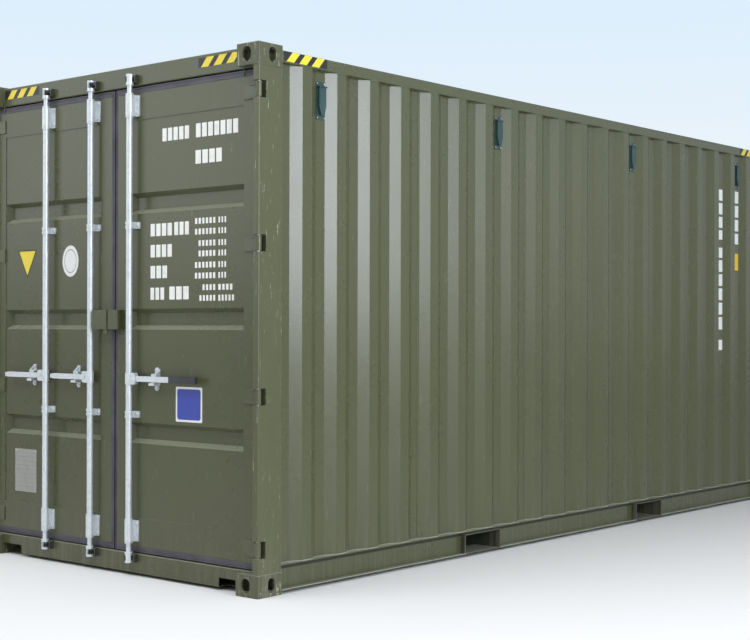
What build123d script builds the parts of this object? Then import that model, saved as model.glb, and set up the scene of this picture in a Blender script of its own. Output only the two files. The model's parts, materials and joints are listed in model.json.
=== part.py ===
import os
from build123d import *

os.makedirs("parts", exist_ok=True)

# Twenty-foot high-cube dry container, millimetres.
# X runs across the width, Y along the length with the doors at -Y, Z up from the ground.

# Overall size
length = 6058.0
width = 2438.0
height = 2896.0
half_length = length / 2
half_width = width / 2

# General clearances and one overrun for all cuts
overrun = 20.0
moving_gap = 6.0
hinge_end_gap = 5.0
running_gap = 0.05
seat_gap = 0.3

# Corner castings
casting_width = 162.0
casting_length = 178.0
casting_height = 118.0
casting_outer_wall = 16.0
casting_load_wall = 28.0
casting_inner_wall = 10.0
casting_round = 6.0
twistlock_hole_length = 124.5
twistlock_hole_width = 63.5
twistlock_from_side = 89.5
twistlock_from_end = 102.5
casting_hole_height = 79.5
casting_side_hole_width = 51.0
casting_end_hole_width = 63.5

# Door end: how far each piece stands back from the castings' end face
door_face_setback = 62.0
header_setback = 54.0
bar_setback = 23.0
post_setback = 3.0
side_setback = 3.0

# Corner posts
post_lip_width = 44.0
post_stop_width = 94.0
post_wall = 6.0
post_round = 8.0
stop_setback = 124.0

# Header and sill
header_top_drop = 9.0
header_height = 113.0
header_stop_drop = 48.0
sill_bottom = 16.5
sill_top = 128.0
sill_stop_rise = 44.0
beam_wall = 5.0
beam_round = 6.0
sill_notch_width = 185.0
sill_notch_height = 52.0

# Side rails
top_rail_size = 60.0
top_rail_drop = 27.0
top_rail_inset = 6.0
rail_wall = 4.0
rail_round = 5.0
bottom_rail_bottom = 17.0
bottom_rail_top = 158.0
bottom_rail_flange = 44.0
bottom_rail_wall = 6.0
bottom_rail_inset = 6.0

# Corrugated side walls
side_pitch = 279.0
side_outer_flat = 72.0
side_slope = 68.0
side_depth = 34.0
side_inset = 8.0
sheet = 2.0
sheet_bend = 8.0

# Corrugated blind end
end_pitch = 250.0
end_outer_flat = 110.0
end_slope = 18.0
end_depth = 45.0
end_inset = 14.0
end_rail_size = 60.0
end_rail_inset = 6.0

# Corrugated roof
roof_pitch = 209.0
roof_end_flat = 90.0
roof_trough_flat = 91.0
roof_slope = 14.0
roof_depth = 20.0

# Floor and underframe
floor_thickness = 28.0
floor_drop = 18.0
floor_row_count = 5
floor_joint = 2.0
cross_member_flange = 45.0
cross_member_wall = 4.0
cross_member_near_shares = (-0.945, -0.83, -0.715, -0.60, -0.485, -0.2, -0.067)
cross_member_far_shares = (0.067, 0.2, 0.485, 0.60, 0.715, 0.83, 0.945)

# Fork pockets
pocket_spacing = 2071.0
pocket_width = 360.0
pocket_height = 112.0
pocket_wall = 5.0
pocket_strap = 200.0

# Door leaves
leaf_centre_gap = 28.0
leaf_post_gap = 10.0
leaf_thickness = 50.0
leaf_sill_gap = 36.0
leaf_header_gap = 34.0
leaf_top_rail = 158.0
leaf_bottom_rail = 166.0
leaf_lock_stile = 96.0
leaf_hinge_stile = 112.0
leaf_wall = 4.0
recess_height = 118.0
recess_slope = 24.0
recess_depth = 32.0
recess_end_gap = 3.0
recess_top_shares = (0.778, 0.5237, 0.274)
leaf_panel_step = 4.0
gasket_side_lip = 4.0
gasket_setback = 1.0
gasket_depth = 52.0
gasket_round = 3.0
gasket_groove = 3.0
gasket_groove_inset = 9.0
gasket_face_lip = 5.0
gasket_face_lip_thickness = 3.0

# Hinges
hinge_bottom_rise = 86.0
hinge_top_drop = 90.0
hinge_middle_shares = (0.332, 0.666)
hinge_barrel_radius = 17.0
hinge_barrel_height = 80.0
hinge_pin_radius = 9.0
hinge_axis_inset = 21.0
hinge_lug_thickness = 14.0
hinge_blade_thickness = 12.0
hinge_blade_reach = 112.0
hinge_rib = 6.0
hinge_rib_height = 11.0
hinge_notch_depth = 58.0

# Locking bars
bar_positions = (-596.0, -175.0, 170.0)
bar_radius = 18.0
cam_radius = 21.0
cam_window_radius = 12.0
cam_height = 54.0
cam_jaw = 11.0
cam_top_rise = 37.0
cam_bottom_drop = 24.0
cam_neck_radius = 14.0
keeper_plate_width = 84.0
keeper_plate_height = 48.0
keeper_plate_thickness = 4.0
keeper_cheek_thickness = 8.0
keeper_cheek_depth = 24.0
keeper_cheek_height = 46.0
keeper_peg_radius = 8.0
keeper_corner = 7.0

# Bar brackets: a long one near each end of the bar, and two short guides between them
end_bracket_length = 120.0
top_bracket_drop = 79.0
bottom_bracket_rise = 92.0
guide_length = 38.0
guide_height_shares = (0.707, 0.2915)
guide_groove = 10.0
guide_groove_depth = 3.0
bracket_radius = 23.0
bracket_flange_width = 46.0
bracket_flange_thickness = 8.0
bracket_flange_corner = 6.0
bar_ring_radius = 22.5
bar_ring_height = 8.0
bar_ring_gap = 1.0

# Handles
handle_height = 1118.0
handle_reaches = (-394.0, -368.0, 552.0)
handle_bar_height = 31.0
handle_bar_thickness = 12.0
handle_taper = 34.0
handle_tip_height = 23.0
hub_radius = 22.0
hub_height = 66.0
hub_reach = 64.0
hub_corner = 14.0
hub_cheek_thickness = 5.0
hub_cheek_gap = 0.5
hub_pin_from_bar = 44.0
hub_pin_radius = 7.0
hub_pin_head_radius = 10.0
hub_pin_head_height = 3.0
grip_length = 212.0
grip_wall = 3.0
grip_corner = 5.0
retainer_offsets = (-153.0, -150.0, 196.0)
retainer_height = 130.0
retainer_width = 28.0
retainer_base_thickness = 8.0
retainer_block_height = 60.0
retainer_block_width = 44.0
retainer_shelf = 14.0
retainer_web = 10.0
retainer_web_rise = 27.0

# Lock box
lock_box_left = -136.0
lock_box_right = 86.0
lock_box_rise = 278.0
lock_box_height = 111.0
lock_box_setback = 3.0
lock_box_wall = 5.0
lock_box_split = 6.0
lock_box_corner = 6.0
hasp_width = 34.0
hasp_drop = 26.0
hasp_thickness = 6.0

# Vents
vent_step_count = 6
vent_width = 84.0
vent_height = 207.0
vent_drop = 58.0
vent_base = 4.0
vent_hood_width = 56.0
vent_hood_depth = 20.0
vent_hood_drop = 28.0
vent_hood_straight = 104.0
vent_hood_taper = 50.0
vent_corner = 6.0
vent_lip = 5.0
vent_lip_reach = 5.0

# Places that several pieces share
post_depth = casting_length
end_face = -half_length
leaf_face = end_face + door_face_setback
leaf_back = leaf_face + leaf_thickness
panel_face = leaf_face + leaf_panel_step
header_face = end_face + header_setback
stop_face = end_face + stop_setback
bar_line = end_face + bar_setback
post_end = end_face + post_setback
post_side = half_width - side_setback
post_back = end_face + post_depth
post_lip = post_side - post_lip_width
post_stop = post_side - post_stop_width
leaf_outer = post_lip - leaf_post_gap
hinge_x = post_side - hinge_axis_inset
hinge_y = post_end + hinge_axis_inset
header_top = height - header_top_drop
header_bottom = header_top - header_height
leaf_bottom = sill_top + leaf_sill_gap
leaf_top = header_bottom - leaf_header_gap
leaf_height = leaf_top - leaf_bottom
upper_casting_bottom = height - casting_height
top_rail_top = height - top_rail_drop
top_rail_bottom = top_rail_top - top_rail_size
floor_bottom = bottom_rail_top - floor_drop
cam_top_centre = header_bottom + cam_top_rise
cam_bottom_centre = sill_top - cam_bottom_drop
handle_front = bar_line - handle_bar_thickness / 2
handle_back = bar_line + handle_bar_thickness / 2
casting_inner_face = half_width - casting_width
wall_start = -(half_length - post_depth)
wall_length = 2 * (half_length - post_depth)
wall_outer = half_width - side_inset
wall_inner = wall_outer - side_depth
side_rib_count = int((wall_length - side_outer_flat - 2 * side_slope) / side_pitch) + 1
roof_half_width = half_width - top_rail_inset - top_rail_size
notch_height = hinge_barrel_height + 2 * hinge_end_gap
hinge_low = leaf_bottom + hinge_bottom_rise
hinge_high = leaf_top - hinge_top_drop
hinge_heights = [hinge_low, hinge_high]
hinge_heights += [hinge_low + share * (hinge_high - hinge_low) for share in hinge_middle_shares]
end_bracket_heights = (leaf_top - top_bracket_drop, leaf_bottom + bottom_bracket_rise)
guide_heights = [leaf_bottom + share * leaf_height for share in guide_height_shares]


def keep(part, name):
    """Label one finished piece and write it as a STEP file."""
    part.label = name
    export_step(part, f"parts/{name}.step")


def box_between(low, high):
    """A box in the open part, given by its two corners."""
    with Locations(((low[0] + high[0]) / 2, (low[1] + high[1]) / 2, (low[2] + high[2]) / 2)):
        return Box(high[0] - low[0], high[1] - low[1], high[2] - low[2])


def cut_between(low, high):
    """The same box, taken away."""
    with Locations(((low[0] + high[0]) / 2, (low[1] + high[1]) / 2, (low[2] + high[2]) / 2)):
        return Box(high[0] - low[0], high[1] - low[1], high[2] - low[2], mode=Mode.SUBTRACT)


# Corner castings
def corner_casting(side, end, upper):
    """Hollow ISO casting with its load hole and its two outer holes."""
    centre_x = side * (half_width - casting_width / 2)
    centre_y = end * (half_length - casting_length / 2)
    bottom = upper_casting_bottom if upper else 0
    centre_z = bottom + casting_height / 2
    load_face = height if upper else 0
    load_sign = 1 if upper else -1
    with BuildPart() as casting:
        with Locations((centre_x, centre_y, centre_z)):
            Box(casting_width, casting_length, casting_height)
        outermost = (side * half_width, end * half_length, load_face)
        fillet(casting.edges().sort_by_distance(outermost)[:3], casting_round)
        shift = (casting_outer_wall - casting_inner_wall) / 2
        rise = (casting_load_wall - casting_inner_wall) / 2
        with Locations((centre_x - side * shift, centre_y - end * shift, centre_z - load_sign * rise)):
            Box(
                casting_width - casting_outer_wall - casting_inner_wall,
                casting_length - casting_outer_wall - casting_inner_wall,
                casting_height - casting_load_wall - casting_inner_wall,
                mode=Mode.SUBTRACT,
            )
        load_x = side * (half_width - twistlock_from_side)
        load_y = end * (half_length - twistlock_from_end)
        with BuildSketch(Plane.XY.offset(load_face)):
            with Locations((load_x, load_y)):
                SlotOverall(twistlock_hole_length, twistlock_hole_width, rotation=90)
        extrude(amount=-load_sign * (casting_load_wall + overrun), mode=Mode.SUBTRACT)
        with BuildSketch(Plane.YZ.offset(side * half_width)):
            with Locations((load_y, centre_z)):
                SlotOverall(casting_hole_height, casting_side_hole_width, rotation=90)
        extrude(amount=-side * (casting_outer_wall + overrun), mode=Mode.SUBTRACT)
        with BuildSketch(Plane.XZ.offset(-end * half_length)):
            with Locations((load_x, centre_z)):
                SlotOverall(casting_hole_height, casting_end_hole_width, rotation=90)
        extrude(amount=end * (casting_outer_wall + overrun), mode=Mode.SUBTRACT)
    return casting.part


for side, side_name in ((1, "right"), (-1, "left")):
    for end, end_name in ((-1, "door"), (1, "front")):
        for upper, level_name in ((True, "top"), (False, "bottom")):
            keep(corner_casting(side, end, upper), f"casting_{level_name}_{end_name}_{side_name}")


# Corner posts
def door_post(side):
    """Rolled post with a lip beside the door, a stop behind it and lugs in its hinge cut-outs."""
    outline = (
        (post_lip, post_end),
        (post_side, post_end),
        (post_side, post_back),
        (post_stop, post_back),
        (post_stop, stop_face),
        (post_lip, stop_face),
    )
    with BuildPart() as post:
        with BuildSketch(Plane.XY.offset(casting_height)) as section:
            with BuildLine():
                Polyline([(side * x, y) for x, y in outline], close=True)
            make_face()
            fillet(section.vertices().group_by(Axis.Y)[0], post_round)
            offset(amount=-post_wall, kind=Kind.INTERSECTION, mode=Mode.SUBTRACT)
        extrude(amount=upper_casting_bottom - casting_height)
        for level in hinge_heights:
            for step in (-1, 1):
                lug_middle = level + step * (notch_height + hinge_lug_thickness) / 2
                lug_x = side * (post_side - post_lip_width / 2)
                with Locations((lug_x, post_end + post_lip_width / 2, lug_middle)):
                    Box(post_lip_width - post_wall, post_lip_width - post_wall, hinge_lug_thickness)
            near_x = side * (post_lip - overrun)
            far_x = side * (post_side + overrun)
            cut_between(
                (min(near_x, far_x), post_end - overrun, level - notch_height / 2),
                (max(near_x, far_x), post_end + hinge_notch_depth, level + notch_height / 2),
            )
            with Locations((side * hinge_x, hinge_y, level)):
                Cylinder(hinge_pin_radius, notch_height + 2 * hinge_lug_thickness, mode=Mode.SUBTRACT)
    return post.part


def front_post(side):
    """Hollow post at the blind end."""
    with BuildPart() as post:
        with BuildSketch(Plane.XY.offset(casting_height)):
            middle_y = half_length - (post_depth + post_setback) / 2
            with Locations((side * (post_side - post_stop_width / 2), middle_y)):
                Rectangle(post_stop_width, post_depth - post_setback)
                Rectangle(
                    post_stop_width - 2 * post_wall,
                    post_depth - post_setback - 2 * post_wall,
                    mode=Mode.SUBTRACT,
                )
        extrude(amount=upper_casting_bottom - casting_height)
    return post.part


def hinge_pins(side):
    """Four pins held in the post's lugs."""
    with BuildPart() as pins:
        with Locations([(side * hinge_x, hinge_y, level) for level in hinge_heights]):
            Cylinder(hinge_pin_radius, notch_height + 2 * hinge_lug_thickness)
    return pins.part


for side, side_name in ((1, "right"), (-1, "left")):
    keep(door_post(side), f"door_post_{side_name}")
    keep(front_post(side), f"front_post_{side_name}")
    keep(hinge_pins(side), f"hinge_pins_{side_name}")


def cut_at_castings(low_y, high_y, low_z, high_z):
    """Take away what stands where the two corner castings of one end and level are."""
    for side in (-1, 1):
        inner_edge = side * casting_inner_face
        outer_edge = side * (half_width + overrun)
        cut_between(
            (min(inner_edge, outer_edge), low_y, low_z),
            (max(inner_edge, outer_edge), high_y, high_z),
        )


# Header and sill

with BuildPart() as door_header:
    with BuildSketch(Plane.YZ.offset(-post_stop)) as section:
        with BuildLine():
            Polyline(
                (header_face, header_bottom),
                (header_face, header_top),
                (post_back, header_top),
                (post_back, header_bottom - header_stop_drop),
                (stop_face, header_bottom - header_stop_drop),
                (stop_face, header_bottom),
                close=True,
            )
        make_face()
        fillet(section.vertices().group_by(Axis.X)[0], beam_round)
        offset(amount=-beam_wall, kind=Kind.INTERSECTION, mode=Mode.SUBTRACT)
    extrude(amount=2 * post_stop)
    cut_at_castings(-half_length - overrun, post_back + overrun, upper_casting_bottom, height)
keep(door_header.part, "door_header")

with BuildPart() as door_sill:
    with BuildSketch(Plane.YZ.offset(-post_stop)) as section:
        with BuildLine():
            Polyline(
                (header_face, sill_bottom),
                (header_face, sill_top),
                (stop_face, sill_top),
                (stop_face, sill_top + sill_stop_rise),
                (post_back, sill_top + sill_stop_rise),
                (post_back, sill_bottom),
                close=True,
            )
        make_face()
        fillet(section.vertices().group_by(Axis.X)[0], beam_round)
        offset(amount=-beam_wall, kind=Kind.INTERSECTION, mode=Mode.SUBTRACT)
    extrude(amount=2 * post_stop)
    cut_at_castings(-half_length - overrun, post_back + overrun, 0, casting_height)
    for side in (-1, 1):
        notch_edge = side * (casting_inner_face - sill_notch_width)
        far_edge = side * (casting_inner_face + overrun)
        cut_between(
            (min(notch_edge, far_edge), header_face - overrun, sill_bottom - overrun),
            (max(notch_edge, far_edge), stop_face, sill_bottom + sill_notch_height),
        )
keep(door_sill.part, "door_sill")


# Cam keepers
def cam_keepers(centre, name):
    """Three keepers on the beam's face, each a plate with two cheeks and a peg."""
    plate_face = header_face - keeper_plate_thickness
    cheek_step = (keeper_plate_width - keeper_cheek_thickness) / 2
    with BuildPart() as keepers:
        for x in bar_positions:
            with BuildSketch(Plane.XZ.offset(-header_face)):
                with Locations((x, centre)):
                    RectangleRounded(keeper_plate_width, keeper_plate_height, keeper_corner)
            extrude(amount=keeper_plate_thickness)
            for cheek_x in (x - cheek_step, x + cheek_step):
                with BuildSketch(Plane.YZ.offset(cheek_x - keeper_cheek_thickness / 2)):
                    with Locations((plate_face - keeper_cheek_depth / 2, centre)):
                        RectangleRounded(keeper_cheek_depth, keeper_cheek_height, keeper_corner)
                    with Locations((header_face - keeper_corner, centre)):
                        Rectangle(2 * keeper_corner, keeper_cheek_height)
                extrude(amount=keeper_cheek_thickness)
            with BuildSketch(Plane.XZ.offset(-plate_face)):
                with Locations((x, centre)):
                    Circle(keeper_peg_radius)
            extrude(amount=plate_face - bar_line)
    keep(keepers.part, name)


cam_keepers(cam_top_centre, "cam_keepers_top")
cam_keepers(cam_bottom_centre, "cam_keepers_bottom")


# Side rails
def top_side_rail(side):
    """Square tube along the top edge, from casting to casting."""
    with BuildPart() as rail:
        with BuildSketch(Plane.XZ.offset(half_length - casting_length)):
            rail_x = side * (half_width - top_rail_inset - top_rail_size / 2)
            with Locations((rail_x, top_rail_top - top_rail_size / 2)):
                RectangleRounded(top_rail_size, top_rail_size, rail_round)
                Rectangle(top_rail_size - 2 * rail_wall, top_rail_size - 2 * rail_wall, mode=Mode.SUBTRACT)
        extrude(amount=-(length - 2 * casting_length))
    return rail.part


def bottom_side_rail(side):
    """Channel that faces outwards, cut through at the two fork pockets."""
    outer = side * (half_width - bottom_rail_inset)
    inner = side * (half_width - bottom_rail_inset - bottom_rail_flange)
    web = side * (half_width - bottom_rail_inset - bottom_rail_flange + bottom_rail_wall)
    with BuildPart() as rail:
        with BuildSketch(Plane.XZ.offset(half_length - casting_length)):
            with BuildLine():
                Polyline(
                    (outer, bottom_rail_bottom),
                    (outer, bottom_rail_bottom + bottom_rail_wall),
                    (web, bottom_rail_bottom + bottom_rail_wall),
                    (web, bottom_rail_top - bottom_rail_wall),
                    (outer, bottom_rail_top - bottom_rail_wall),
                    (outer, bottom_rail_top),
                    (inner, bottom_rail_top),
                    (inner, bottom_rail_bottom),
                    close=True,
                )
            make_face()
        extrude(amount=-(length - 2 * casting_length))
        for step in (-1, 1):
            centre = step * pocket_spacing / 2
            reach = pocket_width / 2 + pocket_wall
            pocket_top = bottom_rail_bottom + pocket_height + 2 * pocket_wall
            cut_between(
                (min(inner, outer) - overrun, centre - reach, bottom_rail_bottom - overrun),
                (max(inner, outer) + overrun, centre + reach, pocket_top),
            )
    return rail.part


for side, side_name in ((1, "right"), (-1, "left")):
    keep(top_side_rail(side), f"top_rail_{side_name}")
    keep(bottom_side_rail(side), f"bottom_rail_{side_name}")

# Blind end rails
end_rail_outer = half_length - end_rail_inset

with BuildPart() as front_top_rail:
    with BuildSketch(Plane.YZ.offset(-casting_inner_face)):
        with Locations((end_rail_outer - end_rail_size / 2, top_rail_top - top_rail_size / 2)):
            RectangleRounded(end_rail_size, top_rail_size, rail_round)
            Rectangle(end_rail_size - 2 * rail_wall, top_rail_size - 2 * rail_wall, mode=Mode.SUBTRACT)
    extrude(amount=2 * casting_inner_face)
keep(front_top_rail.part, "front_top_rail")

with BuildPart() as front_bottom_rail:
    with BuildSketch(Plane.YZ.offset(-post_stop)):
        with BuildLine():
            Polyline(
                (end_rail_outer, bottom_rail_bottom),
                (end_rail_outer, bottom_rail_top),
                (end_rail_outer - end_rail_size, bottom_rail_top),
                (end_rail_outer - end_rail_size, bottom_rail_bottom),
                close=True,
            )
        make_face()
        offset(amount=-rail_wall, kind=Kind.INTERSECTION, mode=Mode.SUBTRACT)
    extrude(amount=2 * post_stop)
    cut_at_castings(half_length - casting_length, half_length, 0, casting_height)
keep(front_bottom_rail.part, "front_bottom_rail")


# Corrugated sheets
def folded_line(start, pitch, count, outer_flat, slope, outer, inner):
    """Points of one face of a corrugated sheet: (along, across) for each fold."""
    points = []
    for rib in range(count):
        first = start + rib * pitch
        points += [(first - slope, inner), (first, outer)]
        points += [(first + outer_flat, outer), (first + outer_flat + slope, inner)]
    return points


side_ribs_length = (side_rib_count - 1) * side_pitch + side_outer_flat
side_first_flat = -side_ribs_length / 2


def side_wall(side):
    """Side wall sheet between the rails and the posts."""
    face = folded_line(
        side_first_flat,
        side_pitch,
        side_rib_count,
        side_outer_flat,
        side_slope,
        wall_outer,
        wall_inner,
    )
    face = [(wall_start, wall_inner)] + face + [(wall_start + wall_length, wall_inner)]
    outline = [(side * x, y) for y, x in face] + [(side * (x - sheet), y) for y, x in reversed(face)]
    with BuildPart() as wall:
        with BuildSketch(Plane.XY.offset(bottom_rail_top)) as section:
            with BuildLine():
                Polyline(outline, close=True)
            make_face()
            folds = [corner for corner in section.vertices() if abs(corner.Y) < wall_length / 2 - sheet]
            fillet(folds, sheet_bend)
        extrude(amount=top_rail_bottom - bottom_rail_top)
    return wall.part


for side, side_name in ((1, "right"), (-1, "left")):
    keep(side_wall(side), f"side_wall_{side_name}")

end_wall_outer = half_length - end_inset
end_wall_half = post_side - post_stop_width
end_rib_count = int((2 * end_wall_half - end_outer_flat - 2 * end_slope) / end_pitch) + 1
end_ribs_length = (end_rib_count - 1) * end_pitch + end_outer_flat

with BuildPart() as front_wall:
    end_face_line = folded_line(
        -end_ribs_length / 2,
        end_pitch,
        end_rib_count,
        end_outer_flat,
        end_slope,
        end_wall_outer,
        end_wall_outer - end_depth,
    )
    end_face_line = [(-end_wall_half, end_wall_outer - end_depth)] + end_face_line
    end_face_line = end_face_line + [(end_wall_half, end_wall_outer - end_depth)]
    with BuildSketch(Plane.XY.offset(bottom_rail_top)) as section:
        with BuildLine():
            Polyline(
                end_face_line + [(x, y - sheet) for x, y in reversed(end_face_line)],
                close=True,
            )
        make_face()
        folds = [corner for corner in section.vertices() if abs(corner.X) < end_wall_half - sheet]
        fillet(folds, sheet_bend)
    extrude(amount=top_rail_bottom - bottom_rail_top)
    cut_at_castings(half_length - casting_length, half_length, upper_casting_bottom, height)
keep(front_wall.part, "front_wall")

# Roof: ribs run across, troughs end against the inner faces of the top rails
roof_start = post_back
roof_end = end_rail_outer
roof_middle = (roof_start + roof_end) / 2
roof_ribs_room = roof_end - roof_start - 2 * roof_end_flat - roof_trough_flat - 2 * roof_slope
roof_rib_count = int(roof_ribs_room / roof_pitch) + 1
roof_ribs_length = (roof_rib_count - 1) * roof_pitch + roof_trough_flat

with BuildPart() as roof:
    roof_line = folded_line(
        roof_middle - roof_ribs_length / 2,
        roof_pitch,
        roof_rib_count,
        roof_trough_flat,
        roof_slope,
        top_rail_top - roof_depth,
        top_rail_top,
    )
    roof_line = [(roof_start, top_rail_top)] + roof_line + [(roof_end, top_rail_top)]
    with BuildSketch(Plane.YZ.offset(-roof_half_width)) as section:
        with BuildLine():
            Polyline(roof_line + [(y, z + sheet) for y, z in reversed(roof_line)], close=True)
        make_face()
        folds = [corner for corner in section.vertices() if roof_start + sheet < corner.X < roof_end - sheet]
        fillet(folds, sheet_bend)
    extrude(amount=2 * roof_half_width)
    for side in (-1, 1):
        inner_edge = side * roof_half_width
        outer_edge = side * (half_width - top_rail_inset)
        strip_start = end_face + casting_length
        box_between(
            (min(inner_edge, outer_edge), strip_start, top_rail_top),
            (max(inner_edge, outer_edge), half_length - casting_length, top_rail_top + sheet),
        )
    cut_at_castings(half_length - casting_length, half_length, upper_casting_bottom, height)
keep(roof.part, "roof")

# Underframe
member_half = half_width - bottom_rail_inset - bottom_rail_flange
member_span = wall_length / 2

with BuildPart() as cross_members:
    for share in cross_member_near_shares + cross_member_far_shares:
        y = share * member_span
        with BuildSketch(Plane.YZ.offset(-member_half)):
            with BuildLine():
                Polyline(
                    (y, bottom_rail_bottom),
                    (y + cross_member_flange, bottom_rail_bottom),
                    (y + cross_member_flange, bottom_rail_bottom + cross_member_wall),
                    (y + cross_member_wall, bottom_rail_bottom + cross_member_wall),
                    (y + cross_member_wall, floor_bottom - cross_member_wall),
                    (y + cross_member_flange, floor_bottom - cross_member_wall),
                    (y + cross_member_flange, floor_bottom),
                    (y, floor_bottom),
                    close=True,
                )
            make_face()
        extrude(amount=2 * member_half)
keep(cross_members.part, "cross_members")


def fork_pocket(step):
    """Tunnel for a fork tine, with its floor left open between two end straps."""
    centre = step * pocket_spacing / 2
    tunnel_half = half_width - bottom_rail_inset
    outer_height = pocket_height + 2 * pocket_wall
    with BuildPart() as pocket:
        with BuildSketch(Plane.YZ.offset(-tunnel_half)):
            with Locations((centre, bottom_rail_bottom + outer_height / 2)):
                Rectangle(pocket_width + 2 * pocket_wall, outer_height)
                Rectangle(pocket_width, pocket_height, mode=Mode.SUBTRACT)
        extrude(amount=2 * tunnel_half)
        open_half = tunnel_half - pocket_strap
        cut_between(
            (-open_half, centre - pocket_width / 2, bottom_rail_bottom - overrun),
            (open_half, centre + pocket_width / 2, bottom_rail_bottom + pocket_wall),
        )
    return pocket.part


keep(fork_pocket(-1), "fork_pocket_door_end")
keep(fork_pocket(1), "fork_pocket_front_end")

floor_start = post_back
floor_end = end_rail_outer - end_rail_size
floor_half = member_half - sheet

with BuildPart() as floor:
    sheet_length = (floor_end - floor_start - (floor_row_count - 1) * floor_joint) / floor_row_count
    for number in range(floor_row_count):
        first = floor_start + number * (sheet_length + floor_joint)
        box_between(
            (-floor_half, first, floor_bottom),
            (floor_half, first + sheet_length, floor_bottom + floor_thickness),
        )
    for side in (-1, 1):
        post_edge = side * post_stop
        cut_between(
            (min(post_edge, side * half_width), half_length - post_depth, 0),
            (max(post_edge, side * half_width), half_length, height),
        )
keep(floor.part, "floor")


# Vents
def vents(side):
    """Small hooded vents in the side wall's recesses, under the top rail."""
    recess_flat = side_pitch - side_outer_flat - 2 * side_slope
    vent_top = top_rail_bottom - vent_drop
    hood_top = vent_top - vent_hood_drop
    taper_start = hood_top - vent_hood_straight
    hood_half = vent_hood_width / 2
    seat = Plane(origin=(side * wall_inner, 0, 0), x_dir=(0, side, 0), z_dir=(side, 0, 0))
    with BuildPart() as vent_set:
        for rib in range(0, side_rib_count - 1, vent_step_count):
            recess = side_first_flat + rib * side_pitch + side_outer_flat + side_slope
            centre = side * (recess + recess_flat / 2)
            with BuildSketch(seat):
                with Locations((centre, vent_top - vent_height / 2)):
                    RectangleRounded(min(vent_width, recess_flat - sheet_bend / 2), vent_height, vent_corner)
            extrude(amount=vent_base)
            with BuildSketch(seat) as hood:
                with BuildLine():
                    Polyline(
                        (centre - hood_half, hood_top),
                        (centre + hood_half, hood_top),
                        (centre + hood_half, taper_start),
                        (centre + hood_half / 2, taper_start - vent_hood_taper),
                        (centre - hood_half / 2, taper_start - vent_hood_taper),
                        (centre - hood_half, taper_start),
                        close=True,
                    )
                make_face()
                fillet(hood.vertices(), vent_corner)
            extrude(amount=vent_hood_depth)
            with BuildSketch(seat):
                with Locations((centre, hood_top)):
                    Rectangle(vent_hood_width + 2 * vent_lip_reach, vent_lip)
            extrude(amount=vent_hood_depth + vent_lip_reach)
    return vent_set.part


for side, side_name in ((1, "right"), (-1, "left")):
    keep(vents(side), f"vents_{side_name}")


# Door leaves
def leaf_panel(side):
    """Pressed sheet with three sunk pans, set in a hollow frame of two stiles and two rails."""
    inner = leaf_centre_gap
    lock_stile = inner + leaf_lock_stile
    hinge_stile = leaf_outer - leaf_hinge_stile
    upper = leaf_top - leaf_top_rail
    lower = leaf_bottom + leaf_bottom_rail
    pan_length = hinge_stile - lock_stile - 2 * recess_end_gap
    pan_middle = -side * (lock_stile + hinge_stile) / 2
    inward = Plane(origin=(0, panel_face, 0), x_dir=(-1, 0, 0), z_dir=(0, 1, 0))

    def span(low_x, high_x):
        return min(side * low_x, side * high_x), max(side * low_x, side * high_x)

    with BuildPart() as leaf:
        low, high = span(inner, leaf_outer)
        box_between((low, leaf_face, leaf_bottom), (high, leaf_back, leaf_top))
        low, high = span(lock_stile, hinge_stile)
        cut_between((low, leaf_face - overrun, lower), (high, leaf_back + overrun, upper))
        for stile_low, stile_high in ((inner, lock_stile), (hinge_stile, leaf_outer)):
            low, high = span(stile_low + leaf_wall, stile_high - leaf_wall)
            cut_between(
                (low, leaf_face + leaf_wall, leaf_bottom - overrun),
                (high, leaf_back - leaf_wall, leaf_top + overrun),
            )
        low, high = span(lock_stile - overrun, hinge_stile + overrun)
        for rail_low, rail_high in ((leaf_bottom, lower), (upper, leaf_top)):
            cut_between(
                (low, leaf_face + leaf_wall, rail_low + leaf_wall),
                (high, leaf_back - leaf_wall, rail_high - leaf_wall),
            )
        low, high = span(lock_stile, hinge_stile)
        box_between((low, panel_face, lower), (high, panel_face + sheet, upper))
        for share in recess_top_shares:
            middle = leaf_bottom + share * leaf_height - recess_height / 2
            for step, kind in ((sheet, Mode.ADD), (0, Mode.SUBTRACT)):
                with BuildSketch(inward.offset(step)):
                    with Locations((pan_middle, middle)):
                        Rectangle(pan_length, recess_height)
                with BuildSketch(inward.offset(step + recess_depth)):
                    with Locations((pan_middle, middle)):
                        Rectangle(pan_length - 2 * recess_slope, recess_height - 2 * recess_slope)
                loft(mode=kind)
    return leaf.part


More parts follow.
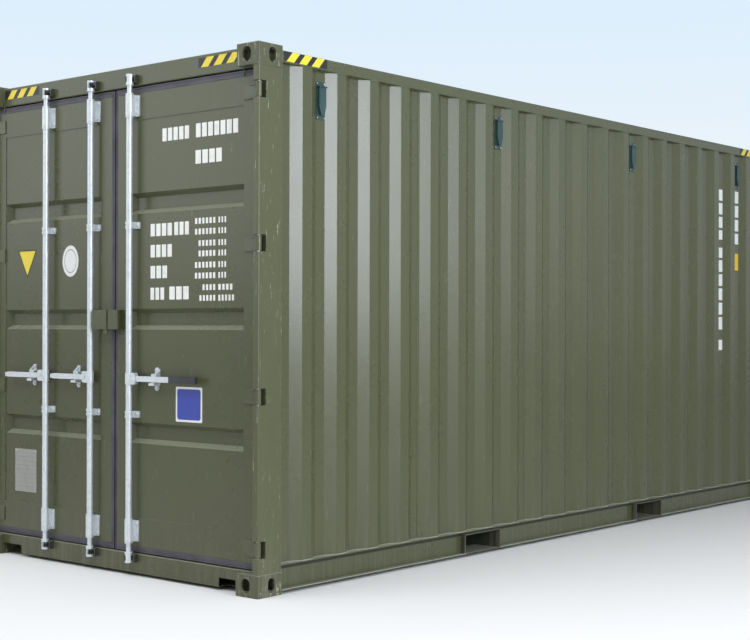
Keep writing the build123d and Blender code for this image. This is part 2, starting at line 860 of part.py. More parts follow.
def leaf_gasket(side):
    """Rubber seal round the leaf, lipped over its edge at the top and bottom."""
    top_lip = header_bottom - moving_gap
    bottom_lip = sill_top + moving_gap
    inner_lip = moving_gap
    low = min(side * inner_lip, side * (leaf_outer + gasket_side_lip))
    high = max(side * inner_lip, side * (leaf_outer + gasket_side_lip))
    hole_low = min(side * leaf_centre_gap, side * leaf_outer)
    hole_high = max(side * leaf_centre_gap, side * leaf_outer)
    front = leaf_face + gasket_setback
    groove_reach = gasket_groove_inset + gasket_groove
    with BuildPart() as gasket:
        box_between((low, front, bottom_lip), (high, front + gasket_depth, top_lip))
        fillet(gasket.edges().group_by(Axis.Y)[0], gasket_round)
        with BuildSketch(Plane.XZ.offset(-front)):
            with Locations(((low + high) / 2, (bottom_lip + top_lip) / 2)):
                for inset, kind in ((gasket_groove_inset, Mode.ADD), (groove_reach, Mode.SUBTRACT)):
                    Rectangle(high - low - 2 * inset, top_lip - bottom_lip - 2 * inset, mode=kind)
        extrude(amount=-gasket_groove, mode=Mode.SUBTRACT)
        cut_between(
            (hole_low, leaf_face - overrun, leaf_bottom),
            (hole_high, leaf_face + gasket_depth + overrun, leaf_top),
        )
        lip_front = leaf_face - gasket_face_lip_thickness
        box_between(
            (hole_low, lip_front, leaf_top - gasket_face_lip),
            (hole_high, leaf_face, leaf_top + gasket_face_lip),
        )
        box_between((hole_low, leaf_face, leaf_top), (hole_high, front, leaf_top + gasket_face_lip))
        box_between(
            (hole_low, lip_front, leaf_bottom - gasket_face_lip),
            (hole_high, leaf_face, leaf_bottom + gasket_face_lip),
        )
        box_between((hole_low, leaf_face, leaf_bottom - gasket_face_lip), (hole_high, front, leaf_bottom))
    return gasket.part


def hinge_blades(side):
    """Four ribbed blades welded to the leaf, each ending in a barrel on its pin."""
    blade_front = leaf_face - hinge_blade_thickness
    blade_start = leaf_outer - hinge_blade_reach
    blade_bend = leaf_outer - hinge_blade_thickness
    with BuildPart() as blades:
        for level in hinge_heights:
            with BuildSketch(Plane.XY.offset(level - hinge_barrel_height / 2)):
                with BuildLine():
                    Polyline(
                        (side * blade_start, leaf_face),
                        (side * leaf_outer, leaf_face),
                        (side * hinge_x, hinge_y + hinge_barrel_radius / 2),
                        (side * hinge_x, hinge_y - hinge_barrel_radius),
                        (side * leaf_outer, blade_front - hinge_barrel_radius / 2),
                        (side * blade_bend, blade_front),
                        (side * blade_start, leaf_face - hinge_blade_thickness / 2),
                        close=True,
                    )
                make_face()
                with Locations((side * hinge_x, hinge_y)):
                    Circle(hinge_barrel_radius)
                    Circle(hinge_pin_radius + running_gap, mode=Mode.SUBTRACT)
            extrude(amount=hinge_barrel_height)
            for rib_bottom in (-hinge_barrel_height / 2, hinge_barrel_height / 2 - hinge_rib_height):
                with BuildSketch(Plane.XY.offset(level + rib_bottom)):
                    with BuildLine():
                        Polyline(
                            (side * blade_start, leaf_face),
                            (side * blade_bend, leaf_face),
                            (side * blade_bend, blade_front - hinge_rib),
                            (side * (blade_bend - hinge_rib_height), blade_front - hinge_rib),
                            close=True,
                        )
                    make_face()
                extrude(amount=hinge_rib_height)
    return blades.part


def bar_brackets(positions):
    """Collars that carry the bars on one leaf, each on a flange with rounded corners."""
    collars = [(centre, end_bracket_length, leaf_face) for centre in end_bracket_heights]
    collars += [(centre, guide_length, panel_face) for centre in guide_heights]
    with BuildPart() as brackets:
        for x in positions:
            for centre, tall, seat in collars:
                with BuildSketch(Plane.XY.offset(centre - tall / 2)):
                    with Locations((x, bar_line)):
                        Circle(bracket_radius)
                    with Locations((x, (bar_line + seat) / 2)):
                        Rectangle(2 * bracket_radius, seat - bar_line)
                extrude(amount=tall)
                with BuildSketch(Plane.XZ.offset(-seat)):
                    with Locations((x, centre)):
                        RectangleRounded(2 * bracket_flange_width, tall, bracket_flange_corner)
                extrude(amount=bracket_flange_thickness)
            for centre in guide_heights:
                with BuildSketch(Plane.XY.offset(centre - guide_groove / 2)):
                    with Locations((x, bar_line)):
                        Circle(bracket_radius + overrun)
                        Circle(bracket_radius - guide_groove_depth, mode=Mode.SUBTRACT)
                    with Locations((x, bar_line + bracket_radius + overrun)):
                        Rectangle(
                            2 * (bracket_radius + overrun),
                            2 * (bracket_radius + overrun),
                            mode=Mode.SUBTRACT,
                        )
                extrude(amount=guide_groove, mode=Mode.SUBTRACT)
            with BuildSketch(Plane.XY.offset(leaf_bottom)):
                with Locations((x, bar_line)):
                    Circle(bar_radius + seat_gap)
            extrude(amount=leaf_height, mode=Mode.SUBTRACT)
    return brackets.part


def handle_retainers(numbers):
    """Cast cradles that the handles rest in, each with an ear above and below and a side web."""
    block_face = handle_back + moving_gap
    shelf_top = handle_height - handle_bar_height / 2 - moving_gap
    block_top = handle_height + retainer_block_height / 2
    with BuildPart() as retainers:
        for number in numbers:
            x = bar_positions[number] + retainer_offsets[number]
            outboard = 1 if retainer_offsets[number] > 0 else -1
            with BuildSketch(Plane.XZ.offset(-panel_face)):
                with Locations((x, handle_height)):
                    SlotOverall(retainer_height, retainer_width, rotation=90)
            extrude(amount=retainer_base_thickness)
            with BuildSketch(Plane.XZ.offset(-panel_face)):
                with Locations((x, handle_height)):
                    RectangleRounded(retainer_block_width, retainer_block_height, bracket_flange_corner)
            extrude(amount=panel_face - block_face)
            box_between(
                (x - retainer_block_width / 2, handle_front, shelf_top - retainer_shelf),
                (x + retainer_block_width / 2, panel_face, shelf_top),
            )
            web_x = x + outboard * (retainer_block_width - retainer_web) / 2
            with BuildSketch(Plane.YZ.offset(web_x - retainer_web / 2)):
                with BuildLine():
                    Polyline(
                        (panel_face, block_top + retainer_web_rise),
                        (panel_face, handle_height),
                        (block_face, handle_height),
                        (block_face, block_top),
                        close=True,
                    )
                make_face()
            extrude(amount=retainer_web)
    return retainers.part


def lock_box_half(low_x, high_x, side):
    """Half of the hood that covers a padlock, open towards the other half and below."""
    front = end_face + lock_box_setback
    lock_box_bottom = handle_height + lock_box_rise
    lock_box_top = lock_box_bottom + lock_box_height
    open_low = low_x - overrun if side > 0 else low_x + lock_box_wall
    open_high = high_x - lock_box_wall if side > 0 else high_x + overrun
    with BuildPart() as half:
        box_between((low_x, front, lock_box_bottom), (high_x, leaf_face, lock_box_top))
        outer_corner = (side * half_width, front, (lock_box_bottom + lock_box_top) / 2)
        fillet(half.edges().filter_by(Axis.Z).sort_by_distance(outer_corner)[0], lock_box_corner)
        cut_between(
            (open_low, front + lock_box_wall, lock_box_bottom - overrun),
            (open_high, leaf_face + overrun, lock_box_top - lock_box_wall),
        )
        if side < 0:
            hasp_back = front + lock_box_wall + hasp_thickness
            box_between(
                (high_x - hasp_width, front + lock_box_wall, lock_box_bottom - hasp_drop),
                (high_x, hasp_back, lock_box_top - lock_box_wall),
            )
    return half.part


for side, side_name in ((1, "right"), (-1, "left")):
    numbers = [number for number, x in enumerate(bar_positions) if side * x > 0]
    box_low = lock_box_split if side > 0 else lock_box_left
    box_high = lock_box_right if side > 0 else -lock_box_split
    keep(leaf_panel(side), f"door_leaf_{side_name}")
    keep(leaf_gasket(side), f"door_gasket_{side_name}")
    keep(hinge_blades(side), f"hinge_blades_{side_name}")
    keep(bar_brackets([bar_positions[number] for number in numbers]), f"bar_brackets_{side_name}")
    keep(handle_retainers(numbers), f"handle_retainers_{side_name}")
    keep(lock_box_half(box_low, box_high, side), f"lock_box_{side_name}")


# Locking bars and handles
def locking_bar(number):
    """Tube with a claw at each end, collars beside its brackets and the hub of its handle."""
    x = bar_positions[number]
    reach = 1 if handle_reaches[number] > 0 else -1
    low_claw = cam_bottom_centre + cam_height / 2
    high_claw = cam_top_centre - cam_height / 2
    bracket_reach = end_bracket_length / 2 + bar_ring_gap
    low_neck = end_bracket_heights[1] - bracket_reach - bar_ring_height
    high_neck = end_bracket_heights[0] + bracket_reach + bar_ring_height
    window = cam_height - 2 * cam_jaw
    with BuildPart() as bar:
        with Locations((x, bar_line, (low_neck + high_neck) / 2)):
            Cylinder(bar_radius, high_neck - low_neck)
        with Locations((x, bar_line, (low_claw + high_claw) / 2)):
            Cylinder(cam_neck_radius, high_claw - low_claw + 2 * cam_jaw)
        ring_heights = [low_neck + bar_ring_height / 2, high_neck - bar_ring_height / 2]
        ring_heights += [low_claw + bar_ring_height / 2, high_claw - bar_ring_height / 2]
        ring_heights += [end_bracket_heights[1] + bracket_reach + bar_ring_height / 2]
        ring_heights += [end_bracket_heights[0] - bracket_reach - bar_ring_height / 2]
        with Locations([(x, bar_line, level) for level in ring_heights]):
            Cylinder(bar_ring_radius, bar_ring_height)
        for centre in (cam_bottom_centre, cam_top_centre):
            with Locations((x, bar_line, centre)):
                Cylinder(cam_radius, cam_height)
            web_side = x + reach * cam_window_radius
            far_side = x - reach * (cam_radius + overrun)
            near_side = x + reach * (cam_radius + overrun)
            low_z = centre - window / 2
            high_z = centre + window / 2
            back = bar_line + cam_radius + overrun
            front = bar_line - cam_radius - overrun
            jaw_front = bar_line - cam_window_radius
            cut_between((min(web_side, far_side), jaw_front, low_z), (max(web_side, far_side), back, high_z))
            cut_between((min(near_side, far_side), bar_line, low_z), (max(near_side, far_side), back, high_z))
            cut_between((min(x, far_side), front, low_z), (max(x, far_side), back, high_z))
        with Locations((x, bar_line, handle_height)):
            Cylinder(hub_radius, hub_height)
        cheek_fronts = (handle_front - hub_cheek_gap - hub_cheek_thickness, handle_back + hub_cheek_gap)
        for cheek_front in cheek_fronts:
            with BuildSketch(Plane.XZ.offset(-cheek_front)) as cheek:
                with Locations((x + reach * hub_reach / 2, handle_height)):
                    Rectangle(hub_reach, hub_height)
                outer_end = (x + reach * half_width, handle_height)
                fillet(cheek.vertices().sort_by_distance(outer_end)[:2], hub_corner)
                with Locations((x + reach * hub_pin_from_bar, handle_height)):
                    Circle(hub_pin_radius + running_gap, mode=Mode.SUBTRACT)
            extrude(amount=-hub_cheek_thickness)
    return bar.part


def handle_points(number):
    """Side view of a handle from its pin, slightly tapered at its tip."""
    sign = 1 if handle_reaches[number] > 0 else -1
    pin_x = bar_positions[number] + sign * hub_pin_from_bar
    tip = bar_positions[number] + handle_reaches[number]
    taper_start = tip - sign * handle_taper
    return (
        (pin_x, handle_height - handle_bar_height / 2),
        (taper_start, handle_height - handle_bar_height / 2),
        (tip, handle_height - handle_tip_height / 2),
        (tip, handle_height + handle_tip_height / 2),
        (taper_start, handle_height + handle_bar_height / 2),
        (pin_x, handle_height + handle_bar_height / 2),
    )


def handle(number):
    """Flat handle with the headed pin that it lifts on."""
    sign = 1 if handle_reaches[number] > 0 else -1
    pin_x = bar_positions[number] + sign * hub_pin_from_bar
    head_step = hub_cheek_gap + hub_cheek_thickness + running_gap
    with BuildPart() as lever:
        with BuildSketch(Plane.XZ.offset(-handle_front)):
            with Locations((pin_x, handle_height)):
                Circle(handle_bar_height / 2)
            with BuildLine():
                Polyline(handle_points(number), close=True)
            make_face()
        extrude(amount=-handle_bar_thickness)
        pin_front = handle_front - head_step - hub_pin_head_height
        pin_back = handle_back + head_step + hub_pin_head_height
        with BuildSketch(Plane.XZ.offset(-pin_front)):
            with Locations((pin_x, handle_height)):
                Circle(hub_pin_radius)
        extrude(amount=-(pin_back - pin_front))
        for head_front in (pin_front, pin_back - hub_pin_head_height):
            with BuildSketch(Plane.XZ.offset(-head_front)):
                with Locations((pin_x, handle_height)):
                    Circle(hub_pin_head_radius)
            extrude(amount=-hub_pin_head_height)
    return lever.part


def handle_grip(number):
    """Rubber sleeve on the long handle."""
    tip = bar_positions[number] + handle_reaches[number]
    with BuildPart() as grip:
        with BuildSketch(Plane.XZ.offset(-handle_front + grip_wall)):
            with Locations((tip - grip_length / 2 + grip_wall / 2, handle_height)):
                RectangleRounded(grip_length + grip_wall, handle_bar_height + 2 * grip_wall, grip_corner)
        extrude(amount=-(handle_bar_thickness + 2 * grip_wall))
        with BuildSketch(Plane.XZ.offset(-handle_front)):
            with BuildLine():
                Polyline(handle_points(number), close=True)
            make_face()
        extrude(amount=-handle_bar_thickness, mode=Mode.SUBTRACT)
    return grip.part


for number, handle_reach in enumerate(handle_reaches):
    keep(locking_bar(number), f"locking_bar_{number + 1}")
    keep(handle(number), f"handle_{number + 1}")
    if handle_reach > 0:
        keep(handle_grip(number), f"handle_grip_{number + 1}")
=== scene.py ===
# %% [markdown]
# # Dressing a twenty-foot freight container
#
# The model that this lesson starts from is a welded steel box: posts, rails, corrugated sheets, two doors
# and their locking gear. It already has the right shapes and sizes, in metres, with Z up and the doors at
# the -Y end. Here it gets its paint, zinc, rubber and plywood, and the small things that a welder, a fitter
# and a painter would add: weld beads, bolts, stripes, stickers and stencilled marks.

# %% Load the frame
import json
import math

import bpy
from mathutils import Matrix, Vector


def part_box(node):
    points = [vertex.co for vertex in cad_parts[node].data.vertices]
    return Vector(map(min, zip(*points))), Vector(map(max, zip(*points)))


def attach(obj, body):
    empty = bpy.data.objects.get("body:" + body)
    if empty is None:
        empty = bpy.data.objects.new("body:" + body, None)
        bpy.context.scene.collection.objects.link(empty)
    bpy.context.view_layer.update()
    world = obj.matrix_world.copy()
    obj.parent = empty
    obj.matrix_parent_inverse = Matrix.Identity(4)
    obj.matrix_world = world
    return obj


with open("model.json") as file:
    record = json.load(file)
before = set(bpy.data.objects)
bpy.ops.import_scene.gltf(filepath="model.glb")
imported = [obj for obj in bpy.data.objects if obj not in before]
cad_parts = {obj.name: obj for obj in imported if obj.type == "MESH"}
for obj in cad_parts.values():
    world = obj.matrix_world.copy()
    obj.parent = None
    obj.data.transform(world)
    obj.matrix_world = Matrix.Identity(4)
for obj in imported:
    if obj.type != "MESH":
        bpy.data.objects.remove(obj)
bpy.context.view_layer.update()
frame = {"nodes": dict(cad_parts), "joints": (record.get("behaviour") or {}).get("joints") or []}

# %% [markdown]
# ## Sizes that several steps share
#
# A millimetre value keeps drawings readable, so lengths are written in millimetres and multiplied once.
# The planes below are read from the frame, so a mark or a bolt always sits on the piece that carries it.

# %% Shared sizes and planes
MM = 0.001
panel_setback, rib_depth = 4 * MM, 34 * MM
door_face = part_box("door_leaf_right")[0].y
panel_face = door_face + panel_setback
header_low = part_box("door_header")[0]
header_face = header_low.y
wall_low, wall_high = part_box("side_wall_right")
side_face = wall_high.x
recess_face = side_face - rib_depth
rail_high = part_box("top_rail_right")[1]
rail_face = rail_high.x
front_rail_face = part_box("front_top_rail")[1].y
casting_low, casting_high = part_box("casting_top_door_right")
post_low, post_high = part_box("door_post_right")
post_face, post_side = post_low.y, post_high.x
rib_pitch, rib_flat, rib_slope, rib_count = 279 * MM, 72 * MM, 68 * MM, 20
recess_flat = rib_pitch - rib_flat - 2 * rib_slope
first_rib = -((rib_count - 1) * rib_pitch + rib_flat) / 2
print("door face", round(door_face, 4), "side face", round(side_face, 4))


def recess_start(number):
    """Y where the flat floor of the recess after one rib begins."""
    return first_rib + number * rib_pitch + rib_flat + rib_slope


# %% [markdown]
# ## Helpers for modelling
#
# Every piece is shaped with Blender's own modelling operators, as by hand. They act on whatever is
# selected, so each piece starts from an empty selection, and each finished piece gets its place written
# into its mesh, so that patterns on Object coordinates share one origin.

# %% Modelling helpers
MOSTLY = 0.9


def clear_selection():
    """Nothing selected, and no edit mode open."""
    if bpy.context.object and bpy.context.object.mode != "OBJECT":
        bpy.ops.object.mode_set(mode="OBJECT")
    bpy.ops.object.select_all(action="DESELECT")


def select_only(piece):
    """One piece selected and active."""
    clear_selection()
    piece.select_set(True)
    bpy.context.view_layer.objects.active = piece


def select_faces(piece, wanted):
    """In edit mode, selects the faces for which wanted(centre, normal) is true."""
    bpy.ops.object.mode_set(mode="OBJECT")
    for vertex in piece.data.vertices:
        vertex.select = False
    for edge in piece.data.edges:
        edge.select = False
    for face in piece.data.polygons:
        face.select = wanted(face.center, face.normal)
    bpy.ops.object.mode_set(mode="EDIT")
    bpy.ops.mesh.select_mode(type="FACE")


def make_box(name, low, high):
    """A box between two corners, as the active object. It is only a start."""
    clear_selection()
    low, high = Vector(low), Vector(high)
    bpy.ops.mesh.primitive_cube_add(size=1, location=(low + high) / 2)
    piece = bpy.context.object
    piece.name = name
    piece.scale = high - low
    bpy.ops.object.transform_apply(location=True, rotation=True, scale=True)
    return piece


def bevel_piece(piece, width, segments=2):
    """Rounds every sharp edge by a bevel that is then applied."""
    select_only(piece)
    bevel = piece.modifiers.new("edge", "BEVEL")
    bevel.width = width
    bevel.segments = segments
    bevel.limit_method = "ANGLE"
    bpy.ops.object.modifier_apply(modifier=bevel.name)


def copies_at(template, places, name):
    """Copies a modelled piece to each place (a matrix) and joins the copies into one object."""
    clear_selection()
    twins = []
    for place in places:
        twin = template.copy()
        twin.data = template.data.copy()
        bpy.context.scene.collection.objects.link(twin)
        twin.matrix_world = place @ template.matrix_world
        twin.select_set(True)
        twins.append(twin)
    bpy.context.view_layer.objects.active = twins[0]
    bpy.context.view_layer.update()
    if len(twins) > 1:
        bpy.ops.object.join()
    piece = bpy.context.object
    piece.name = name
    bpy.ops.object.transform_apply(location=True, rotation=True, scale=True)
    return piece


def join_pieces(pieces, name):
    """Several finished pieces become one object."""
    clear_selection()
    for piece in pieces:
        piece.select_set(True)
    bpy.context.view_layer.objects.active = pieces[0]
    if len(pieces) > 1:
        bpy.ops.object.join()
    pieces[0].name = name
    bpy.ops.object.transform_apply(location=True, rotation=True, scale=True)
    return pieces[0]


def round_corners(piece, radius, segments=4):
    """Rounds the four edges that run along Y, as on a sticker or a plate."""
    select_only(piece)
    bpy.ops.object.mode_set(mode="EDIT")
    bpy.ops.mesh.select_mode(type="EDGE")
    bpy.ops.mesh.select_all(action="DESELECT")
    bpy.ops.object.mode_set(mode="OBJECT")
    points = piece.data.vertices
    for edge in piece.data.edges:
        along = points[edge.vertices[0]].co - points[edge.vertices[1]].co
        edge.select = abs(along.y) > MOSTLY * along.length
    bpy.ops.object.mode_set(mode="EDIT")
    bpy.ops.mesh.bevel(offset=radius, offset_type="OFFSET", segments=segments, affect="EDGES")
    bpy.ops.object.mode_set(mode="OBJECT")


def delete_piece(piece):
    """Removes a template once its copies are made."""
    bpy.data.objects.remove(piece, do_unlink=True)


def dress(piece, material, body):
    """Gives a new piece its finish, in its one material slot, and its moving body."""
    piece.data.materials.clear()
    piece.data.materials.append(material)
    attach(piece, body)


def count_faces(piece):
    """Number of faces, to print after a step."""
    return len(piece.data.polygons)


# %% [markdown]
# ## Helpers for materials
#
# A finish is a small tree of nodes. Colours are written as sRGB hex, the way a paint chart or a colour
# picker gives them, and turned to linear values once. Pattern sizes are written in real millimetres:
# a noise texture's scale counts features per metre, so it is one over the feature's size.

# %% Material helpers
MIX_FACTOR, MIX_A, MIX_B, MIX_RESULT = 0, 6, 7, 2


def linear(hex_code):
    """An sRGB hex colour as linear RGBA."""
    shares = [int(hex_code[i:i + 2], 16) / 255 for i in (1, 3, 5)]
    light = [c / 12.92 if c <= 0.04045 else ((c + 0.055) / 1.055) ** 2.4 for c in shares]
    return (*light, 1.0)


def per_metre(size_mm):
    """Texture scale for features of this size in millimetres."""
    return 1000 / size_mm


def add_node(material, kind, inputs=None, **settings):
    """Adds a node: settings are its own options, inputs are values or the sockets that feed it."""
    node = material.node_tree.nodes.new(kind)
    for option, value in settings.items():
        setattr(node, option, value)
    for name, value in (inputs or {}).items():
        if isinstance(value, bpy.types.NodeSocket):
            material.node_tree.links.new(value, node.inputs[name])
        else:
            node.inputs[name].default_value = value
    return node


def new_material(name):
    """An empty node material, its Principled shader joined to the output, and its Object coordinates."""
    material = bpy.data.materials.new(name)
    material.use_nodes = True
    material.node_tree.nodes.clear()
    shader = add_node(material, "ShaderNodeBsdfPrincipled")
    add_node(material, "ShaderNodeOutputMaterial", {"Surface": shader.outputs["BSDF"]})
    return material, shader, add_node(material, "ShaderNodeTexCoord").outputs["Object"]


def feed(material, shader, **links):
    """Links sockets to the shader's inputs, with an underscore for each space in a name."""
    for name, socket in links.items():
        material.node_tree.links.new(socket, shader.inputs[name.replace("_", " ")])


def noise(material, where, size_mm, detail, **inputs):
    """Strength of a noise whose features have this size."""
    values = {"Vector": where, "Scale": per_metre(size_mm), "Detail": detail, **inputs}
    return add_node(material, "ShaderNodeTexNoise", values).outputs["Fac"]


def stretched_noise(material, where, sizes_mm, detail, **inputs):
    """Strength of a noise whose features have their own size along X, Y and Z."""
    scale = tuple(per_metre(size) for size in sizes_mm)
    place = add_node(material, "ShaderNodeMapping", {"Vector": where, "Scale": scale})
    values = {"Vector": place.outputs["Vector"], "Scale": 1.0, "Detail": detail, **inputs}
    return add_node(material, "ShaderNodeTexNoise", values).outputs["Fac"]


def remap(material, value, from_range, to_range=(0.0, 1.0), interpolation="LINEAR"):
    """The value carried from one range to another and held at its ends."""
    values = {
        "Value": value,
        "From Min": from_range[0],
        "From Max": from_range[1],
        "To Min": to_range[0],
        "To Max": to_range[1],
    }
    node = add_node(material, "ShaderNodeMapRange", values, interpolation_type=interpolation)
    return node.outputs["Result"]


def calculate(material, operation, first, second):
    """A sum, product or the like of two values."""
    return add_node(material, "ShaderNodeMath", {0: first, 1: second}, operation=operation).outputs["Value"]


def mix_colours(material, share, first, second):
    """The first colour where the share is 0 and the second where it is 1."""
    values = {MIX_FACTOR: share, MIX_A: first, MIX_B: second}
    return add_node(material, "ShaderNodeMix", values, data_type="RGBA").outputs[MIX_RESULT]


def toned(material, colour, value):
    """The colour made darker or lighter by a factor."""
    return add_node(material, "ShaderNodeHueSaturation", {"Color": colour, "Value": value}).outputs["Color"]


def soft_edges(material, radius_mm):
    """The normal with every edge rounded by this radius."""
    return add_node(material, "ShaderNodeBevel", {"Radius": radius_mm * MM}, samples=4).outputs["Normal"]


def bump(material, height, depth_mm, normal=None):
    """The normal of a relief of this depth, on top of another normal where one is given."""
    values = {"Height": height, "Distance": depth_mm * MM}
    if normal is not None:
        values["Normal"] = normal
    return add_node(material, "ShaderNodeBump", values).outputs["Normal"]


# %% [markdown]
# ## Container paint
#
# The steel is shot-blasted, primed and sprayed with an olive acrylic enamel. From near it is a satin film
# with a fine orange-peel texture; from far it mirrors the sky in long soft bands, because the sheets are
# never quite flat. Dust settles low down and runs in streaks. Every ledge and slope that faces up is
# painted a paler grey-olive, a painted highlight of the light from the sky. The edges are where the film
# is rubbed thin and bright, so a Bevel node both rounds the edges and finds them; on the posts the bright
# edge is partly a painted highlight of their rounded corners.

# %% Olive container paint
ENAMEL_IOR = 1.5
EDGE_RADIUS_MM = 2.5
CLOUD_MM, CLOUD_SPAN = 900, (0.2, 0.8)
STREAK_MM, SCUFF_MM = (28, 28, 900), (9, 9, 110)
CHIP_MM = 22
WAVE_MM, WAVE_DEPTH_MM = 420, 1.2
DUST_TOP, DUST_FOOT = 0.42, 0.02
# Share and colour of the paler paint on faces that point up: a painted highlight of the sky.
UPWARD_HIGHLIGHT_SHARE, UPWARD_HIGHLIGHT_HEX = 0.5, "#a4a893"


def container_paint(
    name, base_hex, dust_hex, dust_share, peel_mm, peel_depth_mm, roughness, edge_hex, edge_share, scuff_share
):
    """Sprayed enamel on steel, with dust low down, rain streaks, orange peel, rubbed edges and scuffs."""
    material, shader, where = new_material(name)
    height = add_node(material, "ShaderNodeSeparateXYZ", {"Vector": where}).outputs["Z"]
    cloud = noise(material, where, CLOUD_MM, 9.0, Roughness=0.72)
    chips = noise(material, where, CHIP_MM, 5.0)

    shade = remap(material, cloud, CLOUD_SPAN, (0.95, 1.05), "SMOOTHSTEP")
    colour = toned(material, linear(base_hex), shade)
    flat_normal = add_node(material, "ShaderNodeNewGeometry").outputs["Normal"]
    facing_up = add_node(material, "ShaderNodeSeparateXYZ", {"Vector": flat_normal}).outputs["Z"]
    # Faces that point up are painted paler here: a painted highlight of the light from above.
    painted_upward_highlight = remap(material, facing_up, (0.2, 0.65), (0.0, UPWARD_HIGHLIGHT_SHARE))
    colour = mix_colours(material, painted_upward_highlight, colour, linear(UPWARD_HIGHLIGHT_HEX))

    streaks = remap(material, stretched_noise(material, where, STREAK_MM, 4.0), (0.46, 0.74))
    low_down = remap(material, height, (DUST_TOP, DUST_FOOT), (0.04, 1.0), "SMOOTHSTEP")
    dust = calculate(material, "MULTIPLY", low_down, streaks)
    dust = calculate(material, "MULTIPLY", dust, dust_share)
    colour = mix_colours(material, dust, colour, linear(dust_hex))

    soft_normal = soft_edges(material, EDGE_RADIUS_MM)
    sharpness = add_node(
        material, "ShaderNodeVectorMath", {0: soft_normal, 1: flat_normal}, operation="DOT_PRODUCT"
    ).outputs["Value"]
    edge = remap(material, sharpness, (0.985, 0.86))
    worn = calculate(material, "MULTIPLY", edge, remap(material, chips, (0.44, 0.66)))
    worn = calculate(material, "MULTIPLY", worn, edge_share)
    colour = mix_colours(material, worn, colour, linear(edge_hex))

    scuff_from = 0.7 - 0.1 * scuff_share
    scuff_to = 0.74 - 0.1 * scuff_share
    scuff_noise = stretched_noise(material, where, SCUFF_MM, 3.0)
    scuff_lines = remap(material, scuff_noise, (scuff_from, scuff_to), (0.0, scuff_share))
    scuffs = calculate(material, "MULTIPLY", scuff_lines, remap(material, chips, (0.42, 0.56)))
    colour = mix_colours(material, scuffs, colour, linear(edge_hex))

    gloss = remap(material, cloud, CLOUD_SPAN, (roughness - 0.02, roughness + 0.04), "SMOOTHSTEP")
    surface = bump(material, noise(material, where, peel_mm, 2.0), peel_depth_mm, soft_normal)
    surface = bump(material, noise(material, where, WAVE_MM, 0.0), WAVE_DEPTH_MM, surface)
    shader.inputs["IOR"].default_value = ENAMEL_IOR
    feed(material, shader, Base_Color=colour, Roughness=gloss, Normal=surface)
    return material


# In each call: name, base, dust and its share, orange peel's size and depth, roughness, rubbed edge and its
# share (on the posts partly a painted highlight), share of scuffs.
olive_paint = container_paint(
    "olive_acrylic_enamel", "#505338", "#858070", 0.3, 3.2, 0.05, 0.27, "#a3a48e", 0.5, 0.25
)
# The posts' bright edges are partly rubbed paint and partly a painted highlight of their rounded corners.
post_paint = container_paint(
    "rubbed_enamel_on_post_with_painted_highlight", "#53563a", "#858070", 0.4, 3.2, 0.05, 0.3, "#b9bbac", 0.95, 0.55
)
cast_paint = container_paint(
    "enamel_on_sand_cast_steel", "#4f5139", "#858070", 0.5, 2.4, 0.35, 0.38, "#b7b19c", 0.9, 0.75
)
underframe_paint = container_paint(
    "bituminous_underframe_coat", "#3c3e30", "#7a7565", 0.7, 5.0, 0.3, 0.55, "#7b7969", 0.3, 0.2
)
keeper_paint = container_paint(
    "enamel_on_forged_keeper", "#33362b", "#6d6a5c", 0.4, 2.4, 0.2, 0.38, "#8b8b80", 0.6, 0.4
)
weld_paint = container_paint(
    "enamel_over_weld_bead", "#56593e", "#858070", 0.4, 7.0, 1.6, 0.3, "#b3b49e", 0.6, 0.3
)
# Pale paint for the beads at the wall's foot and on the rails' lower flange edge: a painted highlight of
# edges that catch the light.
pale_foot_highlight_paint = container_paint(
    "enamel_painted_pale_as_foot_highlight", "#8f9183", "#a09c8c", 0.5, 7.0, 1.6, 0.42, "#c3c2b4", 0.6, 0.5
)

# %% [markdown]
# ## Zinc, rubber, plastic and plywood
#
# The locking gear is hot-dip galvanised: a bright, faintly mottled metal whose crystals, the spangle, are
# about a centimetre across. The door seals are extruded EPDM rubber, matt and slightly purple with bloom.
# The vents are moulded in teal plastic. The floor is marine plywood under clear varnish.

# %% Galvanised steel
def galvanised_steel(name, base_hex, dark_hex, roughness, metallic):
    """Hot-dip zinc with faint spangle and a little white bloom."""
    spangle_mm, bloom_mm, grain_mm, grain_depth_mm, edge_radius_mm = 16, 60, 2.5, 0.08, 1.2
    material, shader, where = new_material(name)
    spangle = add_node(material, "ShaderNodeTexVoronoi", {"Vector": where, "Scale": per_metre(spangle_mm)})
    crystal = add_node(material, "ShaderNodeSeparateColor", {"Color": spangle.outputs["Color"]})
    bloom = noise(material, where, bloom_mm, 4.0)
    patches = calculate(material, "MULTIPLY", crystal.outputs["Red"], bloom)
    tint = mix_colours(material, patches, linear(base_hex), linear(dark_hex))
    rough = remap(material, bloom, (0.0, 1.0), (roughness - 0.05, roughness + 0.07))
    grain = noise(material, where, grain_mm, 2.0)
    surface = bump(material, grain, grain_depth_mm, soft_edges(material, edge_radius_mm))
    shader.inputs["Metallic"].default_value = metallic
    feed(material, shader, Base_Color=tint, Roughness=rough, Normal=surface)
    return material


zinc = galvanised_steel("hot_dip_galvanised_steel", "#dce1e3", "#c2c9cd", 0.38, 0.45)
pin_steel = galvanised_steel("bright_pin_steel", "#b9bbb8", "#8e908c", 0.35, 0.8)


